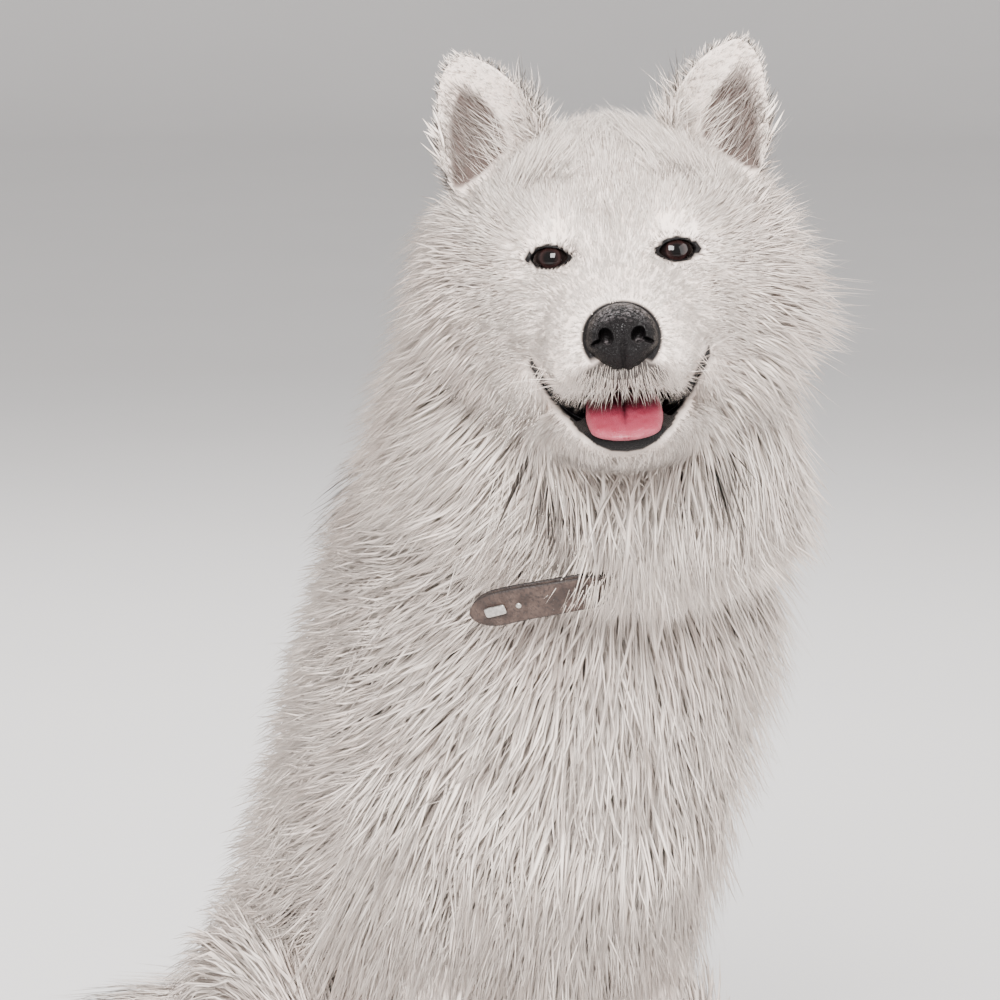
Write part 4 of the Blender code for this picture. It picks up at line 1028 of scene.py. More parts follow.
def paint_skin(obj):
    """Masks for the black skin of lids and mouth, and for the brown inside of the ears."""
    points, normals, _ = mesh_arrays(obj.data)
    dark = np.zeros(len(points))
    near = np.linalg.norm(points - from_head((0.03, 0, -0.05)), axis=1) < 0.13
    here = points[near]
    mouth = np.minimum(oval_distance(here, head_tube(ROOF)), oval_distance(here, head_tube(TROUGH)))
    lids = fade(lid_distance(here), 1.43, 1.31)
    local = to_head(here)
    moustache = 0.95 * under_nose(local)
    behind = fade(np.linalg.norm((local - NOSE_MIDDLE) / (0.0190, 0.0190, 0.0180), axis=1), 1.14, 1.02)
    over, under = lip_heights(local)
    margin = 0.55 * fade(np.minimum(np.abs(over), np.abs(under)), 0.0050, 0.0)
    margin = margin * (local[:, 0] > 0.0) * (np.abs(local[:, 1]) < 0.048)
    dark[near] = np.maximum.reduce([fade(mouth, 1.16, 1.06), black_lips(here), lids, moustache, behind, margin])
    set_attribute(obj.data, "dark", dark)
    set_attribute(obj.data, "ear", inner_ear(points))


class SAMOYED_OT_skin(bpy.types.Operator):
    """Make one skin for the whole body, with lids, lips and the hollow of the mouth"""

    bl_idname = "samoyed.skin"
    bl_label = "Skin"

    def execute(self, context):
        body = remeshed(body_object("skin", body_rings()), 0.0048, 6)
        cut_at_floor(body)
        head = body_object("skin_head", [head_skin_rings(150, 160)])
        lids = [ellipsoid(eye_centre(s), [EYE_RADIUS + GAP + LID_THICK] * 3, eye_axes(s), 56, 36) for s in (1, -1)]
        combine(head, [body_object(f"lid{i}", [rings]) for i, rings in enumerate(lids)], "UNION")
        sockets = [ellipsoid(eye_centre(s), [EYE_RADIUS + GAP] * 3, eye_axes(s), 56, 36) for s in (1, -1)]
        cuts = [body_object(f"socket{i}", [rings]) for i, rings in enumerate(sockets)]
        cuts += [body_object(f"opening{i}", [opening_rings(s)]) for i, s in enumerate((1, -1))]
        cuts.append(body_object("roof", [head_tube(ROOF).grid(40, 48, 0.0, 0.010, 0.010)]))
        combine(head, cuts, "DIFFERENCE")
        jaw = body_object("skin_jaw", [head_tube(JAW).grid(110, 120, -0.0012, 0.014, 0.014)])
        combine(jaw, [body_object("trough", [head_tube(TROUGH).grid(40, 40, 0.0, 0.008, 0.008)])], "DIFFERENCE")
        ears = [body_object(f"skin_ear{i}", [ear_rings(s, 60, 72, -0.0008)]) for i, s in enumerate((1, -1))]
        combine(head, [jaw, *ears], "UNION")
        lips = [head_tube(mirrored_left(LIP, s), 0).grid(40, 32, 0.0, 0.004, 0.004) for s in (1, -1)]
        combine(head, [body_object(f"lip{i}", [rings]) for i, rings in enumerate(lips)], "DIFFERENCE")
        skin = combine(body, [head], "UNION")
        skin.name = skin.data.name = "skin"
        skin.data.shade_smooth()
        paint_skin(skin)
        link(skin, skin_material())
        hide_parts(*FLESH)
        return {"FINISHED"}


# Eyes, nose, mouth


class SAMOYED_OT_eyes(bpy.types.Operator):
    """Make both eyeballs, each a ball whose colours run in rings about its gaze"""

    bl_idname = "samoyed.eyes"
    bl_label = "Eyes"

    def execute(self, context):
        for side, word in ((1, "left"), (-1, "right")):
            axes = eye_axes(side)
            tilt = math.pi * np.linspace(0.002, 0.998, 90)[:, None] ** 1.35
            turn = np.arange(72) * 2 * math.pi / 72
            bulge = 1 + 0.030 * np.exp(-((tilt / 0.45) ** 2))
            local = np.stack(
                [np.cos(tilt) * bulge + 0 * turn, np.sin(tilt) * np.cos(turn), np.sin(tilt) * np.sin(turn)], axis=-1
            )
            rings = (local * (EYE_RADIUS - 0.0001)) @ axes + eye_centre(side)
            eye = body_object(f"eyeball_{word}", [rings])
            points, _, _ = mesh_arrays(eye.data)
            ahead = unit(points - eye_centre(side)) @ axes[0]
            set_attribute(eye.data, "tilt", np.arccos(np.clip(ahead, -1, 1)) / math.pi)
            link(eye, eye_material())
            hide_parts(f"eye_{word}")
        return {"FINISHED"}


def nose_rings(count, around):
    """The bare leather: a ball that is flat above, with two wings and a wedge down to the lip."""
    t = np.linspace(0.02, math.pi - 0.02, count)[:, None]
    p = np.arange(around) * 2 * math.pi / around
    forward = -np.cos(t) + 0 * p
    left, up = np.sin(t) * np.cos(p), np.sin(t) * np.sin(p)
    wing = np.exp(-(((np.abs(left) - 0.62) / 0.30) ** 2) - ((up + 0.10) / 0.45) ** 2)
    groove = np.exp(-((left / 0.075) ** 2)) * np.clip(0.45 - up, 0, 1)
    dent = np.exp(-(((np.abs(left) - 0.40) / 0.17) ** 2) - ((up - 0.02) / 0.30) ** 2)
    narrow = 1 - 0.52 * np.clip(-up - 0.28, 0, 1)
    size = 1 + (0.10 * wing - 0.085 * groove - 0.05 * dent) * (forward > 0)
    place = np.stack(
        [
            0.0165 * forward * size,
            0.0182 * left * size * narrow,
            0.0172 * up * np.where(up > 0, 1.02, 1.0) * size,
        ],
        axis=-1,
    )
    return from_head(place + NOSE_MIDDLE)


class SAMOYED_OT_nose(bpy.types.Operator):
    """Make the nose leather, with nostrils that run out into side slits"""

    bl_idname = "samoyed.nose"
    bl_label = "Nose"

    def execute(self, context):
        nose = body_object("nose_leather", [nose_rings(90, 128)])
        cuts = []
        for side in (1, -1):
            axes = np.array([[1, 0, 0], [0, 0.92, -0.38 * side], [0, 0.38 * side, 0.92]]) @ HEAD
            hole = from_head((0.0950, side * 0.0080 + 0.0006, -0.0462))
            slit = from_head((0.0935, side * 0.0128 + 0.0006, -0.0492))
            cuts.append(body_object(f"nostril{side}", [ellipsoid(hole, (0.0095, 0.0037, 0.0046), axes)]))
            cuts.append(body_object(f"slit{side}", [ellipsoid(slit, (0.0062, 0.0048, 0.0015), axes)]))
        combine(nose, cuts, "DIFFERENCE")
        soft = nose.modifiers.new("soft", "SMOOTH")
        soft.factor = 0.4
        soft.iterations = 2
        applied(nose)
        nose.data.shade_smooth()
        points, normals, _ = mesh_arrays(nose.data)
        # top marks the faces that look up, which take the nose's painted sheen.
        set_attribute(nose.data, "top", fade(normals @ HEAD[2], 0.25, 0.85))
        link(nose, nose_material())
        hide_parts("nose")
        return {"FINISHED"}


class SAMOYED_OT_tongue(bpy.types.Operator):
    """Make the tongue: a flat tube, cupped a little, with a groove along its middle"""

    bl_idname = "samoyed.tongue"
    bl_label = "Tongue"

    def execute(self, context):
        tube = head_tube(TONGUE)
        rings = tube.grid(90, 96, 0.0, 0.010, 0.010)
        local = to_head(rings)
        across = local[..., 1] / 0.019
        top = fade(local[..., 2] - local[..., 2].mean(axis=1, keepdims=True), -0.001, 0.002)
        groove = np.exp(-((local[..., 1] / 0.0011) ** 2)) * fade(local[..., 0], 0.082, 0.060)
        local[..., 2] += top * (0.0016 * across**2 - 0.0016 * groove)
        tongue = body_object("tongue_flesh", [from_head(local)])
        points, _, _ = mesh_arrays(tongue.data)
        here = to_head(points)
        # Painted shade down the groove and towards the tongue's root inside the mouth.
        dark = np.exp(-((here[:, 1] / 0.0012) ** 2)) * fade(here[:, 0], 0.080, 0.058)
        dark = np.maximum(0.75 * dark, fade(here[:, 0], 0.040, 0.012))
        set_attribute(tongue.data, "dark", dark)
        link(tongue, tongue_material())
        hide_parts("tongue")
        return {"FINISHED"}


# Strands


def ripple(a, b, rng, waves=3, fine=1.0):
    """A soft seeded field from -1 to 1: the mean of a few sine waves of two coordinates."""
    total = 0.0
    for _ in range(waves):
        ka, kb = rng.normal(0, fine, 2)
        total = total + np.sin(ka * a + kb * b + rng.uniform(0, 2 * math.pi))
    return total / waves


def nearest(points, guides):
    """Index of the guide nearest each point, worked out for blocks of points at a time."""
    found = [
        ((block[:, None] - guides[None]) ** 2).sum(axis=2).argmin(axis=1)
        for block in np.array_split(points, max(1, len(points) // 1500))
    ]
    return np.concatenate(found)


def gathered(paths, rng, spacing, area, pull, stray=0.22):
    """Draws tips towards those of guide strands, about one guide for each spacing squared. Each guide
    bends its own way, by up to a few tenths of the spacing, so that the locks part."""
    count = int(np.clip(area / spacing**2, 8, len(paths)))
    guides = rng.choice(len(paths), count, replace=False)
    own = nearest(paths[:, 0], paths[guides, 0])
    t = np.linspace(0, 1, paths.shape[1])[None, :, None]
    bend = rng.normal(0, stray * spacing, (count, 1, 3)) * t**1.6
    share = pull * rng.uniform(0.6, 1.15, (len(paths), 1, 1)) * t**1.3
    return paths + ((paths[guides] + bend)[own] - paths) * share


def strand_arrays(paths, outward, width):
    """Points and triangles of closed three-sided strands that taper to a tip. Each ring is two
    corners beside the path and one above it, lower on wide tufts than on single strands."""
    count, rings = paths.shape[0], paths.shape[1] - 1
    profile = np.array([0.75, 1.0, 0.66, 0.45])[:rings] if rings > 2 else np.array([0.95, 0.80])
    ridge = np.interp(width, (0.0008, 0.0018), (0.9, 0.30))[:, None, None]
    tangent = unit(np.gradient(paths, axis=1))
    side = unit(np.cross(tangent, outward[:, None]))
    up = np.cross(side, tangent)
    half = (width[:, None] * profile / 2)[..., None]
    middle = paths[:, :-1]
    corners = np.stack(
        [middle - side[:, :-1] * half, middle + side[:, :-1] * half, middle + up[:, :-1] * half * ridge], axis=2
    )
    points = np.concatenate([corners.reshape(count, rings * 3, 3), paths[:, -1:]], axis=1)
    faces = [(0, 1, 2)]
    for i in range(rings):
        for j in range(3):
            a, b = 3 * i + j, 3 * i + (j + 1) % 3
            faces += [(a, a + 3, b), (b, a + 3, b + 3)] if i < rings - 1 else [(a, 3 * rings, b)]
    faces = np.array(faces)
    sample = points[:, faces] - points.mean(axis=1)[:, None, None]
    volume = np.einsum("nfi,nfi->n", sample[:, :, 0], np.cross(sample[:, :, 1], sample[:, :, 2]))
    if np.median(volume) < 0:
        faces = faces[:, ::-1]
    size = points.shape[1]
    faces = (faces[None] + (np.arange(count) * size)[:, None, None]).reshape(-1, 3)
    along = np.append(np.repeat(np.linspace(0, 1, rings + 1)[:-1], 3), 1.0)
    return points, faces, along


def coat_piece(name, paths, outward, width, uv, rng, dark=None, fading=0.25):
    """Joined strands as one or more pieces, each under 195,000 triangles. On the map OFBake a strand
    is a patch 0.003 across at its root's place on the unwrapped skin."""
    paths = paths.copy()
    low = 0.0014 + 0.0012 * rng.random((len(paths), 1))
    paths[..., 2] = np.maximum(paths[..., 2], low)
    tone = rng.random(len(paths))
    root = paths[:, 0]
    tilt = [ripple(root[:, 0] * 150 + root[:, 1] * 90, root[:, 2] * 130, rng, 4) for _ in range(3)]
    away = paths[:, 1] - SHIFT - (0.0, -0.06, 0.0)
    away[:, 2] = 0.0
    facing = unit(blend(outward, unit(away), fade(outward[:, 2], 0.0, -0.7)) + 0.30 * np.stack(tilt, axis=1))
    dark = np.zeros(len(paths)) if dark is None else dark
    points, faces, along = strand_arrays(paths, outward, width)
    size, each = points.shape[1], len(faces) // len(paths)
    blocks = -(-len(faces) // 195000)
    cuts = np.linspace(0, len(paths), blocks + 1).astype(int)
    corner = np.append(np.tile([0.0, 1.0, 0.5], (size - 1) // 3), 0.5)
    made = []
    for i, (a, b) in enumerate(zip(cuts[:-1], cuts[1:])):
        title = name if blocks == 1 else f"{name}_{i + 1}"
        here = faces[a * each : b * each] - a * size
        mesh = triangle_mesh(title, points[a:b], here)
        patch = uv[a:b, None] + 0.003 * np.stack([corner, along], axis=1)[None]
        layer = mesh.uv_layers.new(name="OFBake")
        layer.data.foreach_set("uv", patch.reshape(-1, 2)[here.ravel()].astype(np.float32).ravel())
        set_attribute(mesh, "along", np.tile(along, b - a))
        set_attribute(mesh, "strand", np.repeat(tone[a:b], size))
        set_attribute(mesh, "dark", (dark[a:b, None] * (1 - fading * along[None])).ravel())
        set_attribute(mesh, "across", (corner[None] * width[a:b, None] / STREAK).ravel())
        soft = mesh.attributes.new("outward", "FLOAT_VECTOR", "POINT")
        soft.data.foreach_set("vector", np.repeat(facing[a:b], size, axis=0).astype(np.float32).ravel())
        obj = bpy.data.objects.new(title, mesh)
        made.append(link(obj, coat_material()))
    return made


def spread_on_tube(tube, count, rng, first, last, weight=None):
    """Seeded places over a tube, even by area or by area times a weight: share along and angle."""
    fine = np.linspace(first, last, 400)
    share = tube.around(fine) + 0.5 * tube.coat(fine)
    if weight is not None:
        share = share * weight(fine)
    total = np.concatenate([[0], np.cumsum((share[1:] + share[:-1]) / 2)])
    s = np.interp(rng.random(count) * total[-1], total, fine)
    return s, rng.uniform(0, 360, count)


def tube_strands(tube, s, angle, length, depth, rng, flow=-1.0, drift=0.0, rings=3, sink=0.003, lift=0.72):
    """Strands that run along a tube from the bare skin and rise to a share of the coat's depth:
    place(t) = s + flow * length * t, turn(t) = angle + drift * t^1.4 + a slow wave,
    out(t) = depth * coat * t^lift."""
    t = np.linspace(0, 1, rings + 1)[None]
    wave = ripple(s * tube.length * 22, np.radians(angle) * 2.0, rng, 4)
    curl = ripple(s * tube.length * 60, np.radians(angle) * 5.0, rng, 4)
    phase = 2.2 * ripple(s * tube.length * 45, np.radians(angle) * 4.0, rng, 3) + rng.normal(0, 0.5, len(s))
    length = length * (1 + 0.16 * wave + rng.normal(0, 0.10, len(s)))
    depth = depth * (1 + 0.07 * wave + 0.07 * curl)
    drift = drift + 13 * wave + 8 * curl + rng.normal(0, 6.5, len(s))
    places = s[:, None] + flow * length[:, None] * t / tube.length
    turn = angle[:, None] + drift[:, None] * t**1.4 + 1.6 * t * np.sin(phase[:, None] + 5.0 * t)
    coat = tube.coat(np.clip(places, 0, 1))
    out = -sink + (depth[:, None] * coat + sink) * t**lift
    paths = tube.point(places, turn, out)
    outward = unit(tube.point(s, angle, 0.01) - tube.point(s, angle, 0.0))
    return paths, outward, np.stack([(angle % 360) / 360, np.clip(s, 0, 1)], axis=1) * 0.99


def strand_depths(count, rng, low=0.55, high=1.06):
    """Shares of the coat's depth that tips reach: most near the surface."""
    return low + (high - low) * rng.random(count) ** 0.6


def amount(share):
    """A number of strands, by the density that the user sets."""
    return max(8, int(share * bpy.context.scene.samoyed_coat.density))


def down(angle, most):
    """Drift towards a tube's under side, 270 degrees, most where it faces sideways."""
    return -most * np.cos(np.radians(angle))


def fanned(angle, most):
    """Drift away from the middle of a tube's under side, none on the under side's middle line."""
    away = (angle - 270 + 180) % 360 - 180
    return most * np.sin(np.radians(away)) * (np.abs(away) < 90)


def all_layers(name, tube, seed, numbers, span, length, drift, flow=-1.0, **shape):
    """Three layers over a tube: wide tufts of undercoat that reach half the coat's depth or more, locks
    over them out to its surface, and single strands among the locks. All are drawn into locks of two sizes."""
    coat = bpy.context.scene.samoyed_coat
    low, high = shape.get("depths", (0.55, 1.03))
    pull, rings = shape.get("pull", 1.0), shape.get("rings", 3)
    layers = (
        ("undercoat_", numbers[0], coat.tuft, 2, (0.34, 0.88), 0.85),
        ("locks_", numbers[1], coat.lock * shape.get("thick", 1.0), rings, (low, high), 1.0),
        ("coat_", numbers[2], coat.strand, 2, (low + 0.15, high + 0.08), 1.05),
    )
    for i, (kind, count, width, curls, reach, share) in enumerate(layers):
        rng = np.random.default_rng(seed + 100 * i)
        count = amount(count)
        s, angle = spread_on_tube(tube, count, rng, *span, shape.get("weight"))
        keep = shape["keep"](tube, s, angle) if "keep" in shape else slice(None)
        s, angle = s[keep], angle[keep]
        count = len(s)
        depth = strand_depths(count, rng, *reach) * shape.get("swell", lambda s, angle: 1.0)(s, angle)
        paths, outward, uv = tube_strands(
            tube, s, angle, length(s, angle) * share, depth, rng, flow, drift(s, angle), curls, lift=shape.get("lift", 0.72)
        )
        area = tube.length * (span[1] - span[0]) * 2 * math.pi * float(np.mean(tube.around(s)))
        draw = coat.clumping * pull * (1.0 if i else 0.2)
        paths = gathered(paths, rng, shape.get("locks", 0.018), area, 0.50 * draw)
        paths = gathered(paths, rng, 0.0075, area, 0.85 * draw)
        thick = width * rng.uniform(0.65, 1.25, count)
        coat_piece(kind + name, paths, outward, thick, uv, rng, shape["dark"](s, angle) if "dark" in shape else None, 0.7)


class SAMOYED_OT_body_coat(bpy.types.Operator):
    """Grow the long coat from the collar to the rump, lying back and down"""

    bl_idname = "samoyed.body_coat"
    bl_label = "Body coat"

    def execute(self, context):
        all_layers(
            "body",
            Tube(TRUNK),
            SEED,
            (6200, 10200, 5200),
            (0.03, 0.766),
            lambda s, angle: 0.044 + 0.020 * fade(s, 0.25, 0.55),
            lambda s, angle: down(angle, 5) * fade(s, 0.55, 0.35) + fanned(angle, 7),
            weight=lambda x: 0.70 + 0.80 * fade(x, 0.25, 0.6),
            swell=lambda s, angle: 1
            + 0.42 * np.exp(-((((angle + 180) % 360 - 180) / 60) ** 2)) * fade(s, 0.54, 0.64) * fade(s, 0.785, 0.73),
            # Painted shadow under the ruff's overhang, on the coat just below the collar in front.
            dark=lambda s, angle: 0.55 * fade(s, 0.705, 0.750) * fade(np.cos(np.radians(angle - 262)), 0.0, 0.7),
        )
        apron(context.scene.samoyed_coat)
        return {"FINISHED"}


def outside_head(tube, s, angle):
    """Roots on the trunk that the head doesn't cover."""
    return to_oval(to_head(tube.point(s, angle, 0.0))) > 0.90


def to_oval(local):
    """How many radii points are from the middle of the head's oval at their own place along it."""
    rows = smooth(HEAD_STATIONS[:, 0], HEAD_STATIONS, local[:, 0])
    _, top, bottom, wide, line = rows.T
    rise = local[:, 2] - line
    past = np.abs(local[:, 0] - np.clip(local[:, 0], HEAD_STATIONS[0, 0], HEAD_STATIONS[-1, 0]))
    return np.hypot(local[:, 1] / wide, rise / np.where(rise > 0, top - line, line - bottom)) + past * 40


def apron(coat):
    """The chest's lowest hair, longer, which hangs past the chest over the tops of the forelegs."""
    rng = np.random.default_rng(SEED + 70)
    tube = Tube(TRUNK)
    layers = (("undercoat", 700, coat.tuft, 2), ("locks", 1900, coat.lock, 3), ("coat", 1100, coat.strand, 3))
    for kind, count, width, rings in layers:
        count = amount(count)
        s = rng.uniform(0.455, 0.640, count)
        angle = rng.uniform(205, 314, count)
        depth = rng.uniform(0.90, 1.22, count)
        length = rng.uniform(0.065, 0.098, count)
        paths, outward, uv = tube_strands(tube, s, angle, length, depth, rng, -1.0, fanned(angle, 4), rings, lift=0.66)
        t = np.linspace(0, 1, rings + 1)[None]
        paths[..., 2] -= (length[:, None] * 0.42 * fade(s, 0.66, 0.50)[:, None]) * t**2
        paths[..., 1] -= 0.016 * t**2
        paths = gathered(paths, rng, 0.020, 0.09, 0.5 * coat.clumping)
        paths = gathered(paths, rng, 0.009, 0.09, 0.85 * coat.clumping)
        coat_piece(f"{kind}_apron", paths, outward, width * rng.uniform(0.7, 1.2, count), uv, rng)


def ruff_length(tube, s, angle):
    """Longest at the throat. In front the ruff stops just under the collar; round the back its ends
    stop at uneven places past it."""
    front = np.cos(np.radians(angle - 270))
    uneven = 0.008 + 0.036 * ((s * 7919.0 + angle * 31.7) % 1.0)
    past = blend(np.full((len(s), 1), 0.014), uneven[:, None], fade(front, 0.5, -0.1))[:, 0]
    return np.minimum(0.054 + 0.012 * fade(front, -0.2, 0.9), (s - 0.750) * tube.length + past)


class SAMOYED_OT_ruff(bpy.types.Operator):
    """Grow the ruff round the neck, which hangs over the collar"""

    bl_idname = "samoyed.ruff"
    bl_label = "Ruff"

    def execute(self, context):
        tube = Tube(TRUNK)
        all_layers(
            "ruff",
            tube,
            SEED + 1,
            (4600, 9200, 5000),
            (0.772, 0.985),
            lambda s, angle: ruff_length(tube, s, angle),
            lambda s, angle: fanned(angle, 9),
            lift=0.70,
            keep=outside_head,
            swell=lambda s, angle: 1 + 0.22 * np.exp(-((((angle + 180) % 360 - 180) / 60) ** 2)) * fade(s, 0.82, 0.88),
        )
        self.overhang(context.scene.samoyed_coat, tube)
        return {"FINISHED"}

    def overhang(self, coat, tube):
        """Strands at the throat's foot that reach further out, over the inner end of the strap."""
        rng = np.random.default_rng(SEED + 101)
        count = amount(3400)
        s = rng.uniform(0.785, 0.900, count)
        angle = rng.uniform(249, 335, count)
        depth = rng.uniform(0.80, 1.34, count) * (1 - 0.14 * fade(angle, 315, 335))
        depth = np.where(angle < 267, np.maximum(depth, rng.uniform(1.10, 1.36, count)), depth)
        paths, outward, uv = tube_strands(
            tube, s, angle, (s - 0.756) * tube.length + rng.normal(0, 0.003, count), depth, rng, -1.0, fanned(angle, 7), lift=0.60
        )
        paths = gathered(paths, rng, 0.012, 0.03, 0.75 * coat.clumping)
        coat_piece("coat_overhang", paths, outward, coat.lock * rng.uniform(0.5, 1.25, count), uv, rng)


class SAMOYED_OT_tail_coat(bpy.types.Operator):
    """Grow the plume of the tail, the longest hair, out and towards its tip"""

    bl_idname = "samoyed.tail_coat"
    bl_label = "Tail plume"

    def execute(self, context):
        all_layers(
            "tail",
            Tube(TAIL, (0, 0, 1)),
            SEED + 2,
            (1800, 3500, 1600),
            (0.03, 0.97),
            lambda s, angle: 0.075 + 0.030 * np.sin(math.pi * s),
            lambda s, angle: 0.0,
            flow=1.0,
            lift=0.66,
            depths=(0.40, 1.02),
        )
        return {"FINISHED"}


class SAMOYED_OT_haunch_coat(bpy.types.Operator):
    """Grow the coat of both thighs and shanks, lying back along them"""

    bl_idname = "samoyed.haunch_coat"
    bl_label = "Haunch coat"

    def execute(self, context):
        for side, word in ((1, "left"), (-1, "right")):
            all_layers(
                f"thigh_{word}",
                Tube(mirrored(THIGH, side)),
                SEED + 4 + side,
                (1000, 2000, 900),
                (0.05, 1.0),
                lambda s, angle: np.full(len(s), 0.056),
                lambda s, angle: down(angle, 22),
                depths=(0.45, 1.02),
                locks=0.015,
            )
            all_layers(
                f"shank_{word}",
                Tube(mirrored(SHANK, side)),
                SEED + 8 + side,
                (350, 700, 400),
                (0.0, 0.97),
                lambda s, angle: np.full(len(s), 0.034),
                lambda s, angle: -side * 10.0,
                flow=1.0,
                depths=(0.5, 1.3),
                locks=0.012,
                rings=2,
                thick=0.7,
            )
        return {"FINISHED"}


class SAMOYED_OT_foreleg_coat(bpy.types.Operator):
    """Grow the short coat of both forelegs and the feathering down their backs"""

    bl_idname = "samoyed.foreleg_coat"
    bl_label = "Foreleg coat"

    def execute(self, context):
        coat = context.scene.samoyed_coat
        for side, word in ((1, "left"), (-1, "right")):
            tube = Tube(mirrored(FORELEG, side))
            all_layers(
                f"foreleg_{word}",
                tube,
                SEED + 12 + side,
                (700, 1900, 1000),
                (0.0, 0.99),
                lambda s, angle: 0.032 - 0.013 * s,
                lambda s, angle: 0.0,
                flow=1.0,
                depths=(0.4, 0.95),
                locks=0.010,
                rings=2,
                thick=0.62,
            )
            rng = np.random.default_rng(SEED + 16 + side)
            count = amount(900)
            s = rng.uniform(0.12, 0.78, count)
            angle = rng.normal(270, 26, count)
            depth = rng.uniform(1.3, 3.3, count)
            paths, outward, uv = tube_strands(tube, s, angle, 0.072 - 0.022 * s, depth, rng, 1.0, lift=0.9)
            paths = gathered(paths, rng, 0.008, 0.02, coat.clumping)
            coat_piece(f"feather_{word}", paths, outward, coat.strand * rng.uniform(0.7, 1.1, count), uv, rng)
        return {"FINISHED"}


# Short fur, rooted on the skin's own triangles


def skin_roots(count, rng, keep):
    """Seeded places on the skin, even by area, where a mask of triangle middles allows them:
    point = a + u (b - a) + v (c - a), with u and v folded into the triangle."""
    points, normals, faces = mesh_arrays(bpy.data.objects["skin"].data)
    a, b, c = (points[faces[:, i]] for i in range(3))
    crossed = np.cross(b - a, c - a)
    area = np.linalg.norm(crossed, axis=1) / 2 * keep((a + b + c) / 3, unit(crossed))
    total = np.cumsum(area)
    chosen = np.searchsorted(total, rng.random(count) * total[-1])
    u, v = rng.random((2, count, 1))
    over = u + v > 1
    u, v = np.where(over, 1 - u, u), np.where(over, 1 - v, v)
    root = a[chosen] + u * (b - a)[chosen] + v * (c - a)[chosen]
    mean = sum(w * normals[faces[chosen, i]] for i, w in ((0, 1 - u - v), (1, u), (2, v)))
    return root, unit(mean), total[-1]


def lying_strands(root, normal, lie, length, rise, rng, rings=2, sink=0.0012, droop=0.0, bend=0.72):
    """Strands on a nearly flat skin: path(t) = root + along * length * t + normal * rise * t^bend,
    less droop * t^2 in height, where along is the lie laid into the skin."""
    along = unit(lie - normal * (lie * normal).sum(axis=1, keepdims=True))
    across = np.cross(normal, along)
    along = unit(along + across * rng.normal(0, 0.20, (len(root), 1)))
    t = np.linspace(0, 1, rings + 1)[None, :, None]
    rise = np.broadcast_to(rise, (len(root),))[:, None, None]
    paths = root[:, None] + along[:, None] * (length[:, None, None] * t)
    paths = paths + normal[:, None] * (-sink + (rise + sink) * t**bend)
    paths[..., 2] -= (np.broadcast_to(droop, (len(root),))[:, None] * t[..., 0] ** 2)
    return paths


def around_head(points):
    """A place on the head's unwrap: the angle round its forward line, and the share along it."""
    local = to_head(points)
    turn = np.arctan2(local[:, 2] + 0.02, local[:, 1]) / (2 * math.pi) % 1.0
    return np.stack([turn, np.clip((local[:, 0] + 0.14) / 0.24, 0, 1)], axis=1) * 0.99


def is_head(points, reach=0.135):
    """Where the skin is the head's or the jaw's, and not an ear's."""
    local = to_head(points)
    ball = np.linalg.norm(local - (-0.015, 0, -0.010), axis=1)
    return (ball < reach) & (local[:, 2] < 0.076 + 0.02 * (np.abs(local[:, 1]) < 0.03)) & (local[:, 2] > -0.125)


def blend(first, second, share):
    """Rows of one array turned towards another by a share for each row."""
    return first * (1 - share[:, None]) + np.asarray(second) * share[:, None]


def face_lie(local):
    """The lie of the hair on the head, in its axes: away from the nose, back and up over the muzzle and
    brow, round the eyes, out over the cheeks, clear of the lips on both sides, and down at the chin."""
    side = np.sign(local[:, 1])
    zero = np.zeros(len(local))
    radial = unit(np.stack([zero, local[:, 1], local[:, 2] + 0.030], axis=1))
    lie = np.tile([-1.0, 0.0, 0.30], (len(local), 1)) + radial * 0.15
    out = np.stack([zero - 0.85, 0.85 * side, zero - 0.35], axis=1)
    lie = blend(lie, out, fade(np.abs(local[:, 1]), 0.022, 0.060) * fade(local[:, 2], 0.03, -0.02))
    lie = blend(lie, radial * 0.9 + np.array([-0.75, 0, -0.12]), fade(local[:, 0], 0.010, -0.030))
    lie = blend(lie, (-0.5, 0, -1.0), fade(local[:, 2], -0.066, -0.112))
    crown = fade(local[:, 2], 0.012, 0.045) * fade(np.abs(local[:, 1]), 0.085, 0.045)
    up_and_back = np.stack([zero - 0.85, 2.2 * local[:, 1], zero + 0.75], axis=1)
    lie = unit(blend(lie, up_and_back, crown))
    over, under = lip_heights(local)
    front = fade(local[:, 0], -0.004, 0.010) * fade(np.abs(local[:, 1]), 0.058, 0.046)
    above = np.stack([zero - 0.95, 0.55 * side, zero + 0.16], axis=1)
    lie = blend(lie, above, front * (over > 0) * fade(over, 0.018, 0.005))
    below = np.stack([zero - 0.45, 0.30 * side, zero - 1.0], axis=1)
    lie = blend(lie, below, front * (under > 0) * fade(under, 0.024, 0.004))
    for eye in (1, -1):
        away = local - (EYE_FORWARD, eye * EYE_APART / 2, 0.0)
        share = 0.75 * fade(np.linalg.norm(away, axis=1), 0.026, 0.013)
        lie = blend(lie, unit(away * (0.2, 1.0, 1.0)) + (-0.35, 0, 0.10), share)
    away = local - NOSE_MIDDLE
    share = fade(np.linalg.norm(away, axis=1), 0.036, 0.021)
    return unit(blend(lie, unit(away * (0.3, 1.0, 1.0)) + (-0.55, 0, 0), share))


def mane(local):
    """0 on the short-haired face, 1 where the ruff begins behind the cheeks and the crown."""
    return fade(local[:, 0] + 0.12 * np.maximum(local[:, 2] - 0.02, 0), 0.016, -0.044)


